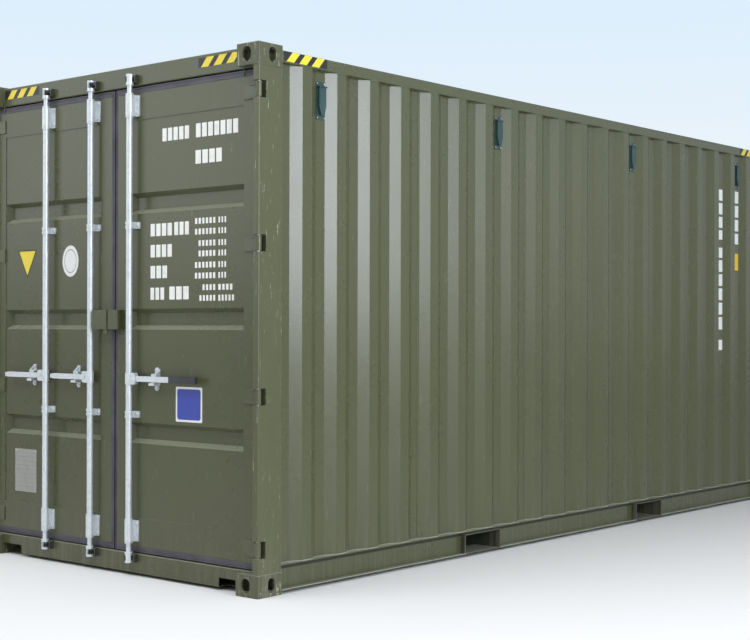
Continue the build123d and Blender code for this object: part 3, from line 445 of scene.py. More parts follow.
# %% Rubber and moulded plastic
def moulded(name, base_hex, bloom_hex, bloom_share, grain_mm, grain_depth_mm, roughness):
    """Moulded or extruded polymer with a little surface bloom."""
    bloom_mm = 140
    material, shader, where = new_material(name)
    bloom = noise(material, where, bloom_mm, 5.0)
    bloom_amount = remap(material, bloom, (0.35, 0.75), (0.0, bloom_share))
    colour = mix_colours(material, bloom_amount, linear(base_hex), linear(bloom_hex))
    rough = remap(material, bloom, (0.0, 1.0), (roughness - 0.06, roughness + 0.08))
    surface = bump(material, noise(material, where, grain_mm, 3.0), grain_depth_mm)
    feed(material, shader, Base_Color=colour, Roughness=rough, Normal=surface)
    return material


seal_rubber = moulded("extruded_epdm_rubber", "#46424a", "#6c6871", 0.6, 1.5, 0.04, 0.5)
grip_rubber = moulded("dipped_grip_rubber", "#26272c", "#4b4d55", 0.5, 1.2, 0.05, 0.45)
vent_plastic = moulded("moulded_teal_plastic", "#213c3a", "#4d6a68", 0.35, 1.0, 0.03, 0.4)


# %% Varnished plywood
def varnished_plywood(name):
    """Marine plywood: rotary-cut grain that runs along the container, under clear varnish."""
    grain_mm, board_mm, grain_depth_mm, varnish_roughness = (14, 420, 14), 1300, 0.3, 0.42
    material, shader, where = new_material(name)
    grain = stretched_noise(material, where, grain_mm, 6.0, Distortion=0.8)
    wood = mix_colours(material, grain, linear("#7a4a2c"), linear("#b07a4c"))
    boards = noise(material, where, board_mm, 1.0)
    wood = toned(material, wood, remap(material, boards, (0.35, 0.65), (0.85, 1.12)))
    shader.inputs["Roughness"].default_value = varnish_roughness
    feed(material, shader, Base_Color=wood, Normal=bump(material, grain, grain_depth_mm))
    return material


plywood = varnished_plywood("varnished_marine_plywood")


# %% [markdown]
# ## Films and stencil paint
#
# Stripes and stickers are cut from cast vinyl film. The white marks are brushed through stencils, so
# their edges are crisp and the white is a little thin in places.

# %% Vinyl and stencil paint
def printed_film(name, base_hex, thin_hex, thin_share, roughness):
    """Flat colour film or stencilled paint, slightly uneven."""
    uneven_mm, peel_mm, peel_depth_mm = 35, 4, 0.04
    material, shader, where = new_material(name)
    uneven = noise(material, where, uneven_mm, 6.0)
    thin = remap(material, uneven, (0.5, 0.8), (0.0, thin_share))
    colour = mix_colours(material, thin, linear(base_hex), linear(thin_hex))
    rough = remap(material, uneven, (0.0, 1.0), (roughness - 0.05, roughness + 0.08))
    surface = bump(material, noise(material, where, peel_mm, 2.0), peel_depth_mm)
    feed(material, shader, Base_Color=colour, Roughness=rough, Normal=surface)
    return material


yellow_film = printed_film("yellow_cast_vinyl", "#ecd63c", "#c9b450", 0.35, 0.35)
black_film = printed_film("black_cast_vinyl", "#1b1b1d", "#3a3a3a", 0.4, 0.35)
white_paint = printed_film("white_stencil_paint", "#f1f1ec", "#c4c5b8", 0.45, 0.45)
blue_film = printed_film("blue_cast_vinyl", "#3b4ba6", "#5360ab", 0.3, 0.3)
amber_film = printed_film("amber_cast_vinyl", "#e8c02c", "#c9a63c", 0.3, 0.35)
etched_plate = printed_film("etched_aluminium_plate", "#9d9e98", "#7d7f79", 0.5, 0.38)
white_film = printed_film("white_cast_vinyl", "#e9eae6", "#cfd0c8", 0.3, 0.35)
# A dark film used only as a painted shadow under the rails' upper flange.
shadow_film = printed_film("painted_shadow_dark_film", "#2b2d22", "#3d3e30", 0.6, 0.6)
ruling_ink = printed_film("grey_ruling_ink", "#6c6d68", "#8b8c86", 0.4, 0.4)

# %% [markdown]
# ## Dress the frame's own pieces
#
# Most of the container's pieces already have their real shape, so they only need their finish.

# %% Assign finishes to the frame's nodes
def finish_of(node):
    """The finish that belongs to one of the frame's nodes, by what it is."""
    by_start = {
        "casting": cast_paint,
        "door_post": post_paint,
        "front_post": post_paint,
        "cross_members": underframe_paint,
        "fork_pocket": underframe_paint,
        "cam_keepers": keeper_paint,
        "door_gasket": seal_rubber,
        "locking_bar": zinc,
        "bar_brackets": zinc,
        "handle_grip": grip_rubber,
        "handle": zinc,
        "hinge_pins": pin_steel,
        "vents": vent_plastic,
        "floor": plywood,
    }
    for start, material in by_start.items():
        if node.startswith(start):
            return material
    return olive_paint


for node, part in frame["nodes"].items():
    part.data.materials.clear()
    part.data.materials.append(finish_of(node))

# %% [markdown]
# ## Bolts on the locking gear
#
# Each bar bracket is held by small hexagon bolts through its two flanges. One bolt is modelled: a hexagon
# head with its corners turned off, on a flat washer. Then it is copied to every hole.

# %% One hexagon bolt
def hexagon_bolt(across_mm, height_mm, washer_mm, washer_height_mm):
    """A bolt head on a washer, standing on the XY plane and pointing up."""
    clear_selection()
    washer_sides, head_sides = 20, 6
    bpy.ops.mesh.primitive_cylinder_add(
        vertices=washer_sides,
        radius=washer_mm / 2 * MM,
        depth=washer_height_mm * MM,
        location=(0, 0, washer_height_mm / 2 * MM),
    )
    washer = bpy.context.object
    bevel_piece(washer, 0.4 * MM, 1)
    clear_selection()
    bpy.ops.mesh.primitive_cylinder_add(
        vertices=head_sides,
        radius=across_mm / 2 / math.cos(math.pi / head_sides) * MM,
        depth=height_mm * MM,
        location=(0, 0, (washer_height_mm + height_mm / 2) * MM),
    )
    head = bpy.context.object
    bevel_piece(head, 0.9 * MM, 2)
    return join_pieces([head, washer], "bolt")


def facing_door(x, z, y):
    """Place of a bolt whose head points out of the door end."""
    return Matrix.Translation((x, y, z)) @ Matrix.Rotation(math.pi / 2, 4, "X")


flange_bolt_mm = 34.0
end_flange_mm, guide_flange_mm = 8, 4
end_bolt_face = door_face - end_flange_mm * MM
guide_bolt_face = door_face - guide_flange_mm * MM
bars_on = {"door_left": (1, 2), "door_right": (3,)}
bar_x = {joint["name"]: joint["pos_m"][0] for joint in frame["joints"]}
end_bolt_heights_mm = (2618, 2704, 214, 298)
guide_heights_mm = (1985.2, 914.9)
bolt = hexagon_bolt(across_mm=11, height_mm=6, washer_mm=17, washer_height_mm=1.5)
for body, numbers in bars_on.items():
    places = []
    for number in numbers:
        for side in (-1, 1):
            bolt_x = bar_x[f"bar_{number}_turn"] + side * flange_bolt_mm * MM
            places += [facing_door(bolt_x, height * MM, end_bolt_face) for height in end_bolt_heights_mm]
            places += [facing_door(bolt_x, height * MM, guide_bolt_face) for height in guide_heights_mm]
    bolts = copies_at(bolt, places, f"bracket_bolts_{body}")
    dress(bolts, zinc, body)
    print(bolts.name, count_faces(bolts), "faces")
delete_piece(bolt)

# %% Bolts through the ears of the handle retainers
catch_places = {"door_left": (-749, -325), "door_right": (366,)}
catch_height_mm, ear_mm, catch_base_mm = 1118, 51, 8
catch_bolt = hexagon_bolt(across_mm=13, height_mm=7, washer_mm=20, washer_height_mm=2)
catch_face = panel_face - catch_base_mm * MM
for body, positions in catch_places.items():
    ears = [(x, catch_height_mm + step) for x in positions for step in (-ear_mm, ear_mm)]
    places = [facing_door(x * MM, z * MM, catch_face) for x, z in ears]
    bolts = copies_at(catch_bolt, places, f"catch_bolts_{body}")
    dress(bolts, zinc, body)
delete_piece(catch_bolt)

# %% [markdown]
# ## Closing plates behind the hinges
#
# The corner posts are hollow. Where a post is cut out for a hinge, a small plate closes the tube behind the
# knuckle, so that water stays out and the cut-out shows painted steel instead of a dark hole.

# %% Closing plates in the hinge cut-outs
blades_low, blades_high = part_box("hinge_blades_right")
knuckle_half_mm, cut_out_mm, tube_wall_mm, tube_inside_mm, plate_mm = 40, 58, 6, 32, 3
hinge_shares, weld_lap_mm, plate_reach_mm = (0, 0.332, 0.666, 1), 0.2, 6
lowest_hinge = blades_low.z + knuckle_half_mm * MM
highest_hinge = blades_high.z - knuckle_half_mm * MM
hinge_levels = [lowest_hinge + share * (highest_hinge - lowest_hinge) for share in hinge_shares]
plate_sides = (tube_inside_mm / 2 + weld_lap_mm, plate_mm / 2, knuckle_half_mm + plate_reach_mm)
plate_half = Vector(plate_sides) * MM
plate_x = post_side - (tube_wall_mm + tube_inside_mm / 2) * MM
plate_y = post_face + (cut_out_mm + plate_mm / 2) * MM
plate = make_box("closing_plate", -plate_half, plate_half)
bevel_piece(plate, 0.6 * MM)
plate_places = [
    Matrix.Translation((side * plate_x, plate_y, level)) for side in (-1, 1) for level in hinge_levels
]
closing_plates = copies_at(plate, plate_places, "hinge_closing_plates")
delete_piece(plate)
dress(closing_plates, olive_paint, "container")
print(closing_plates.name, count_faces(closing_plates), "faces")

# %% [markdown]
# ## Rivets
#
# The vents are held by blind rivets, one near each corner of their plates. A blind rivet shows a flat dome
# with a small dimple where its stem broke off.

# %% One blind rivet, copied to every vent
def blind_rivet(radius_mm, height_mm, sides):
    """A low dome with a dimple, standing on the XY plane."""
    rounding, dimple_rim, dimple_depth, level = 0.55, 0.35, 0.3, 0.99
    clear_selection()
    bpy.ops.mesh.primitive_cylinder_add(
        vertices=sides, radius=radius_mm * MM, depth=height_mm * MM, location=(0, 0, height_mm / 2 * MM)
    )
    dome = bpy.context.object
    select_faces(dome, lambda centre, normal: normal.z > MOSTLY)
    bpy.ops.mesh.bevel(offset=rounding * height_mm * MM, segments=3, affect="EDGES")
    bpy.ops.object.mode_set(mode="OBJECT")
    select_faces(dome, lambda centre, normal: normal.z > level and centre.z > MOSTLY * height_mm * MM)
    bpy.ops.mesh.inset(thickness=dimple_rim * radius_mm * MM)
    bpy.ops.transform.translate(value=(0, 0, -dimple_depth * height_mm * MM))
    bpy.ops.object.mode_set(mode="OBJECT")
    dome.name = "rivet"
    return dome


def facing_side(side, y, z, x):
    """Place of a rivet whose head points out of a side wall."""
    return Matrix.Translation((side * x, y, z)) @ Matrix.Rotation(side * math.pi / 2, 4, "Y")


vent_ribs = (0, 6, 12, 18)
vent_top, vent_tall, vent_wide, vent_base = 2751 * MM, 207 * MM, 67 * MM, 4 * MM
rivet_inset, rivet_share = 10 * MM, 0.41
rivet = blind_rivet(radius_mm=4, height_mm=1.8, sides=18)
places = []
for side in (-1, 1):
    for rib in vent_ribs:
        middle = recess_start(rib) + recess_flat / 2
        for y in (middle - rivet_share * vent_wide, middle + rivet_share * vent_wide):
            for z in (vent_top - rivet_inset, vent_top - vent_tall + rivet_inset):
                places.append(facing_side(side, y, z, recess_face + vent_base))
rivets = copies_at(rivet, places, "vent_rivets")
dress(rivets, zinc, "container")

# %% Screws that hold the floor to the cross members
floor_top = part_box("floor")[1].z
wall_end = wall_high.y
member_shares = (0.067, 0.2, 0.485, 0.60, 0.715, 0.83, 0.945)
flange_middle, screw_columns, screw_pitch = 22 * MM, 8, 290 * MM
screw = blind_rivet(radius_mm=6, height_mm=1.0, sides=10)
places = []
for share in [sign * value for sign in (-1, 1) for value in member_shares]:
    for column in range(screw_columns):
        x = (column - (screw_columns - 1) / 2) * screw_pitch
        places.append(Matrix.Translation((x, share * wall_end + flange_middle, floor_top)))
screws = copies_at(screw, places, "floor_screws")
dress(screws, zinc, "container")
delete_piece(screw)
print(screws.name, count_faces(screws), "faces")

# %% [markdown]
# ## Weld beads
#
# The corrugated sheets are joined edge to edge inside every fourth recess, and welded all round to the
# rails and posts. A bead is a thin raised line a few millimetres across, painted over with the rest; the
# beads at the wall's foot and on the rails' lower flange are painted pale, as a painted highlight. Each
# one is a curve with a round section, half sunk into the steel, turned to a mesh.

# %% Beads along given lines
def weld_bead(name, lines, radius_mm, finish=weld_paint):
    """Round-section beads along lines of points, as one painted mesh on the container."""
    clear_selection()
    data = bpy.data.curves.new(name, "CURVE")
    data.dimensions = "3D"
    data.bevel_depth = radius_mm * MM
    data.bevel_resolution = 2
    data.use_fill_caps = True
    for line in lines:
        spline = data.splines.new("POLY")
        spline.points.add(len(line) - 1)
        for point, place in zip(spline.points, line):
            point.co = (*place, 1)
    bead = bpy.data.objects.new(name, data)
    bpy.context.scene.collection.objects.link(bead)
    bead.select_set(True)
    bpy.context.view_layer.objects.active = bead
    bpy.ops.object.convert(target="MESH")
    dress(bpy.context.object, finish, "container")
    return bpy.context.object


wall_bottom, wall_top = wall_low.z, wall_high.z
seam_ribs, seam_inset = (3, 7, 11, 15), 57 * MM
bead_lift, foot_lift, end_lift = 0.5 * MM, 1.5 * MM, 1 * MM
seam_lines, rail_lines, foot_lines = [], [], []
for side in (-1, 1):
    for rib in seam_ribs:
        seam_y = recess_start(rib) + seam_inset
        seam_lines.append([(side * recess_face, seam_y, z) for z in (wall_bottom, wall_top)])
    for end in (-1, 1):
        post_line = (side * (recess_face + end_lift), end * (wall_end - end_lift))
        seam_lines.append([(*post_line, z) for z in (wall_bottom, wall_top)])
    profile = [(-wall_end, recess_face)]
    for rib in range(rib_count):
        start = first_rib + rib * rib_pitch
        profile += [(start - rib_slope, recess_face), (start, side_face)]
        profile += [(start + rib_flat, side_face), (start + rib_flat + rib_slope, recess_face)]
    profile.append((wall_end, recess_face))
    rail_lines.append([(side * (x + bead_lift), y, wall_top - bead_lift) for y, x in profile])
    foot_lines.append([(side * (x + bead_lift), y, wall_bottom + foot_lift) for y, x in profile])
seams = weld_bead("sheet_seam_beads", seam_lines, 3.2)
rail_beads = weld_bead("wall_edge_beads", rail_lines, 2.6)
pocket_half, pocket_middle, rail_end = 185 * MM, 1035.5 * MM, 2851 * MM
spans = (
    (-rail_end, -pocket_middle - pocket_half),
    (-pocket_middle + pocket_half, pocket_middle - pocket_half),
    (pocket_middle + pocket_half, rail_end),
)
# The beads along the lower flange's edge, like those at the wall's foot, are painted pale: a painted
# highlight.
flange_edge, flange_height = 1213 * MM, 22.5 * MM
for side in (-1, 1):
    foot_lines += [[(side * flange_edge, y, flange_height) for y in span] for span in spans]
weld_bead("wall_foot_beads", foot_lines, 3.2, pale_foot_highlight_paint)

# %% Painted shadow: a dark film strip in the corner under the rails' upper flange
# The dark strip on the rail's web stands for the shadow under the upper flange: painted shadow.
web_face, shadow_low, shadow_high = 1175 * MM, 127 * MM, 152 * MM
shadow_lap, shadow_thickness = 0.4 * MM, 1.6 * MM
shadow_back, shadow_front = web_face - shadow_lap, web_face + shadow_thickness
strips = []
for side in (-1, 1):
    low_x, high_x = sorted((side * shadow_back, side * shadow_front))
    for low_y, high_y in spans:
        strips.append(make_box("strip", (low_x, low_y, shadow_low), (high_x, high_y, shadow_high)))
        bevel_piece(strips[-1], 0.6 * MM, 1)
shadow_strips = join_pieces(strips, "painted_shadow_strip_under_rail")
dress(shadow_strips, shadow_film, "container")

# %% Seams between the roof sheets and between the front sheets
roof_low, roof_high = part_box("roof")
front_low, front_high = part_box("front_wall")
roof_pitch, roof_count, roof_trough, roof_step = 209 * MM, 27, 91 * MM, 52 * MM
rail_width = 62 * MM
roof_middle = (roof_low.y + roof_high.y) / 2
roof_first = roof_middle - ((roof_count - 1) * roof_pitch + roof_trough) / 2
roof_half = rail_face - rail_width
sheet_lines = []
for crest in (4, 9, 14, 19, 24):
    seam_y = roof_first + crest * roof_pitch - roof_step
    sheet_lines.append([(x, seam_y, roof_high.z) for x in (-roof_half, roof_half)])
front_pitch, front_flat, front_count, front_gap = 250 * MM, 110 * MM, 9, 2 * MM
front_first = -((front_count - 1) * front_pitch + front_flat) / 2
for rib in (2, 6):
    seam_x = front_first + rib * front_pitch + front_flat / 2
    seam_ends = (front_low.z + front_gap, front_high.z - front_gap)
    sheet_lines.append([(seam_x, front_high.y, z) for z in seam_ends])
weld_bead("roof_and_front_seams", sheet_lines, 2.6)

# %% Beads at the castings, the posts and the front end
proud, corner_round = 0.3 * MM, 2 * MM
door_post_width, front_post_width, casting_length = 44 * MM, 94 * MM, 178 * MM
bottom_casting_top = 118 * MM
half_length = 3029 * MM
front_post_face = half_length - 2.7 * MM
bottom_rail_z = (17 * MM, 116 * MM)
top_rail_z = (wall_top + 4 * MM, rail_high.z - 4 * MM)
header_bead_tops = (header_low.z + 50 * MM, casting_low.z + 106 * MM)
header_bead_length = 40 * MM
bead_side = post_side + proud
frame_lines = []
for side in (-1, 1):
    for z, rail_end_z in ((bottom_casting_top, bottom_rail_z), (casting_low.z, top_rail_z)):
        door_corner = (
            (post_side - door_post_width, post_face - proud),
            (post_side - corner_round, post_face - proud),
            (bead_side, post_face + corner_round),
            (bead_side, casting_high.y),
        )
        front_corner = (
            (post_side - front_post_width, front_post_face),
            (bead_side, front_post_face),
            (bead_side, half_length - casting_length),
        )
        frame_lines += [[(side * x, y, z) for x, y in corner] for corner in (door_corner, front_corner)]
        for end in (-1, 1):
            rail_end_y = end * (half_length - casting_length)
            frame_lines.append([(side * (rail_face + proud), rail_end_y, height) for height in rail_end_z])
    for top in header_bead_tops:
        bead_y = header_face + end_lift
        frame_lines.append([(side * casting_low.x, bead_y, z) for z in (top - header_bead_length, top)])
frame_beads = weld_bead("frame_joint_beads", frame_lines, 3.0)
print("bead faces:", count_faces(seams) + count_faces(rail_beads) + count_faces(frame_beads))

# %% [markdown]
# ## Hazard stripes
#
# A container that is taller than the usual eight and a half feet carries yellow and black stripes at
# the ends of its top rails. Each patch is a strip of black film with three slanting yellow bars on it.

# %% Hazard stripe patches
film_mm, bar_film_mm, film_edge, bar_total = 0.4, 0.64, 0.1 * MM, 3


def slanted_bar(name, low, high, lean, depth):
    """A bar of film in the XZ plane that leans to +X by lean, facing -Y."""
    bar = make_box(name, (low[0], -depth, low[1]), (high[0], 0, high[1]))
    select_faces(bar, lambda centre, normal: normal.z > MOSTLY)
    bpy.ops.transform.translate(value=(lean, 0, 0))
    bpy.ops.object.mode_set(mode="OBJECT")
    return bar


def stripe_patch(name, length, height, bar_width, lean):
    """Black strip from x=0 to length, and the three yellow bars on it, facing -Y."""
    strip = make_box(name + "_strip", (0, -film_mm * MM, 0), (length, 0, height))
    bevel_piece(strip, film_edge, 1)
    gap = (length - bar_total * bar_width - lean) / bar_total
    bars = []
    for number in range(bar_total):
        start = gap / 2 + number * (bar_width + gap)
        bars.append(slanted_bar("bar", (start, 0), (start + bar_width, height), lean, bar_film_mm * MM))
    return strip, join_pieces(bars, name + "_bars")


patch_length, patch_height, patch_bottom = 340 * MM, 52 * MM, 2818 * MM
bar_width, bar_lean = 58 * MM, 46 * MM
strip, bars = stripe_patch("hazard", patch_length, patch_height, bar_width, bar_lean)
header_gap, rail_gap = 12 * MM, 16 * MM
header_starts = (casting_low.x - header_gap - patch_length, -casting_low.x + header_gap)
rail_start_y = casting_high.y + rail_gap
patch_places = [Matrix.Translation((x, header_face, patch_bottom)) for x in header_starts]
turned_right = Matrix.Rotation(math.pi / 2, 4, "Z")
turned_left = Matrix.Rotation(-math.pi / 2, 4, "Z")
turned_round = Matrix.Rotation(math.pi, 4, "Z")
for start in (rail_start_y, -rail_start_y - patch_length):
    patch_places.append(Matrix.Translation((rail_face, start, patch_bottom)) @ turned_right)
    patch_places.append(Matrix.Translation((-rail_face, start + patch_length, patch_bottom)) @ turned_left)
for x in header_starts:
    start = Vector((x + patch_length, front_rail_face, patch_bottom))
    patch_places.append(Matrix.Translation(start) @ turned_round)
strips = copies_at(strip, patch_places, "hazard_strips_black")
yellow_bars = copies_at(bars, patch_places, "hazard_bars_yellow")
dress(strips, black_film, "container")
dress(yellow_bars, yellow_film, "container")
delete_piece(strip)
delete_piece(bars)
print("hazard patches:", len(patch_places))

# %% [markdown]
# ## Stencilled marks and stickers
#
# A working container carries painted marks and stickers. Here their places are kept with plain shapes:
# rows of white blocks with the gaps that a stencil's bridges leave, and coloured films with no print.

# %% White stencil bars on the right door
paint_mm, sunk_mm, bridge_mm, block_share, block_corner_mm = 0.25, 0.05, 11, 0.52, 2.5


def door_patch(name, low_x, high_x, low_z, high_z, thick_mm, corner_mm, face=panel_face):
    """A thin flat patch on a plane that faces the door end, its sides in millimetres."""
    low = (low_x * MM, face - thick_mm * MM, low_z * MM)
    patch = make_box(name, low, (high_x * MM, face + sunk_mm * MM, high_z * MM))
    round_corners(patch, corner_mm * MM)
    return patch


def stencil_row(low_x, high_x, low_z, high_z):
    """One row of equal stencil blocks with an even bridge between them."""
    length = high_x - low_x + bridge_mm
    count = round(length / (block_share * (high_z - low_z) + bridge_mm))
    width = (length - count * bridge_mm) / count
    starts = [low_x + number * (width + bridge_mm) for number in range(count)]
    return [door_patch("bar", x, x + width, low_z, high_z, paint_mm, block_corner_mm) for x in starts]


# Large rows as low X, high X, low Z and high Z. Small rows come in pairs at one height: the left one's
# start, the right one's end and their foot.
mark_rows = [
    (400, 618, 2444, 2516),
    (673, 1000, 2444, 2520),
    (1052, 1086, 2446, 2520),
    (670, 876, 2300, 2374),
    (303, 480, 1918, 1988),
    (500, 618, 1918, 1990),
    (303, 480, 1800, 1870),
    (303, 441, 1682, 1752),
    (303, 417, 1562, 1630),
    (460, 618, 1562, 1634),
]
small_rows = (
    (668, 911, 1972),
    (668, 911, 1914),
    (696, 911, 1850),
    (696, 911, 1794),
    (668, 911, 1732),
    (668, 911, 1674),
    (728, 960, 1610),
    (704, 972, 1552),
)
small_height, left_end, right_start = 32, 828, 852
for start, end, foot in small_rows:
    mark_rows.append((start, left_end, foot, foot + small_height))
    mark_rows.append((right_start, end, foot, foot + small_height))
bars = []
for row in mark_rows:
    bars += stencil_row(*row)
door_marks = join_pieces(bars, "stencil_bars_door_right")
dress(door_marks, white_paint, "door_right")

# %% White bars down the side, in the recesses near the front end
def side_patch(name, low_y, high_y, low_z, high_z, thick_mm, corner_mm):
    """A thin flat patch in a recess of the right wall: made facing the doors, then turned."""
    patch = door_patch(name, low_y / MM, high_y / MM, low_z, high_z, thick_mm, corner_mm, 0.0)
    select_only(patch)
    patch.matrix_world = Matrix.Translation((recess_face, 0, 0)) @ Matrix.Rotation(math.pi / 2, 4, "Z")
    bpy.ops.object.transform_apply(location=True, rotation=True, scale=True)
    return patch


flat_inset = 5 * MM
near_mark, far_mark = [
    (recess_start(rib) + flat_inset, recess_start(rib) + recess_flat - flat_inset) for rib in (17, 18)
]
near_spans = (
    (2429, 2517), (2319, 2410), (2212, 2300), (2118, 2193), (1973, 2054),
    (1860, 1954), (1748, 1841), (1634, 1729), (1519, 1615), (1400, 1500),
)
far_spans = ((2424, 2520), (2310, 2405), (2198, 2291), (2092, 2179))
lone_span = (1236, 1318)
bar_places = [(near_mark, span) for span in near_spans] + [(far_mark, span) for span in far_spans]
bar_places.append((near_mark, lone_span))
bars = [side_patch("bar", *mark, *span, paint_mm, 3) for mark, span in bar_places]
side_marks = join_pieces(bars, "stencil_bars_side_right")
dress(side_marks, white_paint, "container")
side_sticker = side_patch("amber_sticker_side", *far_mark, 1880, 2016, film_mm, 3)
bevel_piece(side_sticker, film_edge, 1)
dress(side_sticker, amber_film, "container")

# %% Stickers and plates on the doors
blue_edge = door_patch("white_sticker_border", 516, 728, 888, 1081, film_mm, 8)
dress(blue_edge, white_film, "door_right")
blue_field = door_patch("blue_sticker_field", 528, 716, 900, 1069, 1.5 * film_mm, 16)
dress(blue_field, blue_film, "door_right")

seal_x, seal_z, seal_tall, ring_flat = -414 * MM, 1800 * MM, 1.24, 0.12
clear_selection()
bpy.ops.mesh.primitive_cylinder_add(vertices=72, radius=75 * MM, depth=film_mm * MM)
seal = bpy.context.object
select_faces(seal, lambda centre, normal: abs(normal.z) > MOSTLY)
bpy.ops.mesh.bevel(offset=film_edge, segments=1, affect="EDGES")
bpy.ops.object.mode_set(mode="OBJECT")
seal_place = facing_door(seal_x, seal_z, panel_face - film_mm / 2 * MM)
seal.matrix_world = seal_place @ Matrix.Diagonal((1.0, seal_tall, 1.0, 1.0))
seal = join_pieces([seal], "white_round_seal")
dress(seal, white_film, "door_left")
clear_selection()
bpy.ops.mesh.primitive_torus_add(
    major_radius=55 * MM, minor_radius=2.5 * MM, major_segments=64, minor_segments=6
)
seal_ring = bpy.context.object
ring_place = facing_door(seal_x, seal_z, panel_face - film_mm * MM)
seal_ring.matrix_world = ring_place @ Matrix.Diagonal((1.0, seal_tall, ring_flat, 1.0))
seal_ring = join_pieces([seal_ring], "seal_inner_ring")
dress(seal_ring, etched_plate, "door_left")


def triangle_patch(name, low_x, high_x, low_z, high_z, thick_mm):
    """A sticker in the shape of a triangle that points down, with small round corners."""
    low = (low_x * MM, panel_face - thick_mm * MM, low_z * MM)
    patch = make_box(name, low, (high_x * MM, panel_face, high_z * MM))
    middle_x, middle_z, tip_share = (low_x + high_x) / 2 * MM, (low_z + high_z) / 2 * MM, 0.02
    for vertex in patch.data.vertices:
        if vertex.co.z < middle_z:
            vertex.co.x = middle_x + (vertex.co.x - middle_x) * tip_share
    round_corners(patch, 1.2 * MM, 2)
    return patch


triangle_edge = triangle_patch("black_triangle_border", -927, -741, 1712, 1878, film_mm)
dress(triangle_edge, black_film, "door_left")
triangle_field = triangle_patch("yellow_triangle_field", -915, -753, 1726, 1871, 1.4 * film_mm)
dress(triangle_field, yellow_film, "door_left")

plate_mm, ruling_mm, ruling_corner_mm, ruling_width = 1.2, 1.35, 0.4, 1.6
plate = door_patch("data_plate", -951, -738, 398, 660, plate_mm, 5)
bevel_piece(plate, 0.3 * MM, 1)
dress(plate, etched_plate, "door_left")
plate_rows = [
    door_patch("row", -936, -753, z, z + ruling_width, ruling_mm, ruling_corner_mm)
    for z in range(430, 640, 26)
]
plate_rows.append(door_patch("row", -846, -844.5, 430, 560, ruling_mm, ruling_corner_mm))
plate_lines = join_pieces(plate_rows, "data_plate_ruling")
dress(plate_lines, ruling_ink, "door_left")
plate_face = panel_face - plate_mm * MM
places = [facing_door(x * MM, z * MM, plate_face) for x in (-943, -746) for z in (406, 652)]
plate_rivets = copies_at(rivet, places, "data_plate_rivets")
dress(plate_rivets, zinc, "door_left")
delete_piece(rivet)

# %% [markdown]
# ## Studio
#
# The camera stands where the photographer stood, with its lens 1.4 m above the ground, and looks level along
# the diagonal. A large soft panel on the right gives the long reflections that show the corrugation, and a
# weak one beside it carries them on. A soft light overhead does the work of an open sky, and two more light
# the doors. The sky's gradient is what the camera, a reflection and a look through something meet; all
# other light from the world is plain and weaker. The floor is pale and fades into the horizon.

# %% Camera
image_width, image_height = 750, 640
focal_px, centre_v_px, sensor_mm = 1441.0, 327.38, 36.0
camera_turn, camera_roll = math.radians(40.17), math.radians(0.14)
camera_data = bpy.data.cameras.new("photographer")
camera_data.sensor_width = sensor_mm
camera_data.lens = focal_px / image_width * sensor_mm
camera_data.shift_y = (centre_v_px - image_height / 2) / image_width
camera_data.clip_end = 200
camera = bpy.data.objects.new("photographer", camera_data)
bpy.context.scene.collection.objects.link(camera)
camera.location = (6.4905, -8.3365, 1.4106)
turned = Matrix.Rotation(camera_turn, 3, "Z") @ Matrix.Rotation(math.pi / 2, 3, "X")
camera.rotation_euler = (turned @ Matrix.Rotation(camera_roll, 3, "Z")).to_euler()
bpy.context.scene.camera = camera

# %% Lights
def soft_light(name, location, target, size, size_y, power, colour_hex):
    """A rectangular softbox aimed at a point."""
    data = bpy.data.lights.new(name, "AREA")
    data.shape = "RECTANGLE"
    data.size, data.size_y = size, size_y
    data.energy = power
    data.color = linear(colour_hex)[:3]
    light = bpy.data.objects.new(name, data)
    bpy.context.scene.collection.objects.link(light)
    light.location = location
    light.visible_camera = False
    aim = Vector(target) - Vector(location)
    light.rotation_euler = aim.to_track_quat("-Z", "Y").to_euler()


# In each call: name, place, aim, width, height, power in watts, colour.
soft_light("side_panel", (9.5, -3.7, 3.55), (1.2, -3.4, 2.85), 3.4, 4.0, 550.0, "#eef3ff")
soft_light("side_wing", (9.5, -0.6, 3.6), (1.2, -0.6, 2.8), 2.8, 4.0, 50.0, "#eef3ff")
soft_light("overhead", (0.5, -4.5, 8.0), (0.0, -2.5, 1.0), 9.0, 9.0, 380.0, "#ffffff")
soft_light("door_fill", (-7.5, -10.5, 4.2), (0.0, -3.0, 1.4), 6.0, 4.0, 90.0, "#f7f8ff")
soft_light("door_sky", (0.0, -8.0, 8.5), (0.0, -3.0, 1.6), 7.0, 3.0, 190.0, "#f7f8ff")

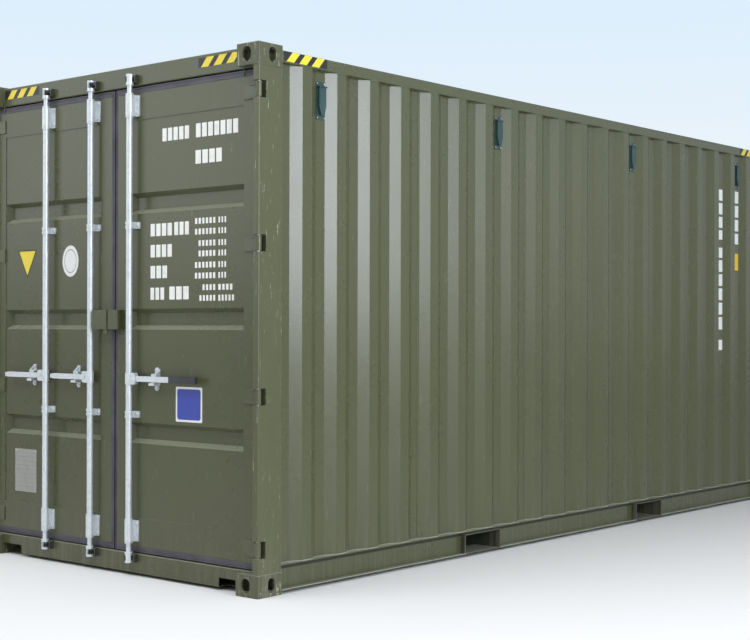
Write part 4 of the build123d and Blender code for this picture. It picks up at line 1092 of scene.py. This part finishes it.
# %% World and floor
horizon_hex, zenith_hex, light_hex, light_strength = "#f4f7f8", "#dbeefd", "#e9eef4", 0.42
sky_top = 0.26
world = bpy.data.worlds.new("pale_studio")
bpy.context.scene.world = world
world.use_nodes = True
world.node_tree.nodes.clear()
direction = add_node(world, "ShaderNodeTexCoord").outputs["Generated"]
height = add_node(world, "ShaderNodeSeparateXYZ", {"Vector": direction}).outputs["Z"]
climb = remap(world, height, (0.0, sky_top), (0.0, 1.0), "SMOOTHSTEP")
sky = mix_colours(world, climb, linear(horizon_hex), linear(zenith_hex))
seen = add_node(world, "ShaderNodeLightPath").outputs
shown = add_node(world, "ShaderNodeBackground", {"Color": sky, "Strength": 1.0})
lighting = add_node(world, "ShaderNodeBackground", {"Color": linear(light_hex), "Strength": light_strength})
seen_or_through = calculate(world, "MAXIMUM", seen["Is Camera Ray"], seen["Is Transmission Ray"])
seen_or_mirrored = calculate(world, "MAXIMUM", seen_or_through, seen["Is Glossy Ray"])
mixed = add_node(
    world,
    "ShaderNodeMixShader",
    {0: seen_or_mirrored, 1: lighting.outputs["Background"], 2: shown.outputs["Background"]},
)
add_node(world, "ShaderNodeOutputWorld", {"Surface": mixed.outputs["Shader"]})

floor_hex, floor_size, fade_span = "#ececea", 160, (5.0, 22.0)
floor_material = bpy.data.materials.new("pale_studio_floor")
floor_material.use_nodes = True
floor_material.node_tree.nodes.clear()
floor_place = add_node(floor_material, "ShaderNodeTexCoord").outputs["Object"]
distance = add_node(floor_material, "ShaderNodeVectorMath", {0: floor_place}, operation="LENGTH")
far_away = remap(floor_material, distance.outputs["Value"], fade_span, (0.0, 1.0), "SMOOTHSTEP")
floor_seen = add_node(floor_material, "ShaderNodeLightPath").outputs["Is Camera Ray"]
fade = calculate(floor_material, "MULTIPLY", far_away, floor_seen)
floor_diffuse = add_node(floor_material, "ShaderNodeBsdfDiffuse", {"Color": linear(floor_hex)})
floor_glow = add_node(floor_material, "ShaderNodeEmission", {"Color": linear(horizon_hex), "Strength": 1.0})
floor_mix = add_node(
    floor_material,
    "ShaderNodeMixShader",
    {0: fade, 1: floor_diffuse.outputs["BSDF"], 2: floor_glow.outputs["Emission"]},
)
add_node(floor_material, "ShaderNodeOutputMaterial", {"Surface": floor_mix.outputs["Shader"]})
clear_selection()
bpy.ops.mesh.primitive_plane_add(size=floor_size, location=(0, 0, 0))
studio_floor = bpy.context.object
studio_floor.name = "studio_floor"
studio_floor.data.materials.append(floor_material)

bpy.context.scene.view_settings.view_transform = "Standard"

# %% Bring the scene up to date
bpy.context.view_layer.update()
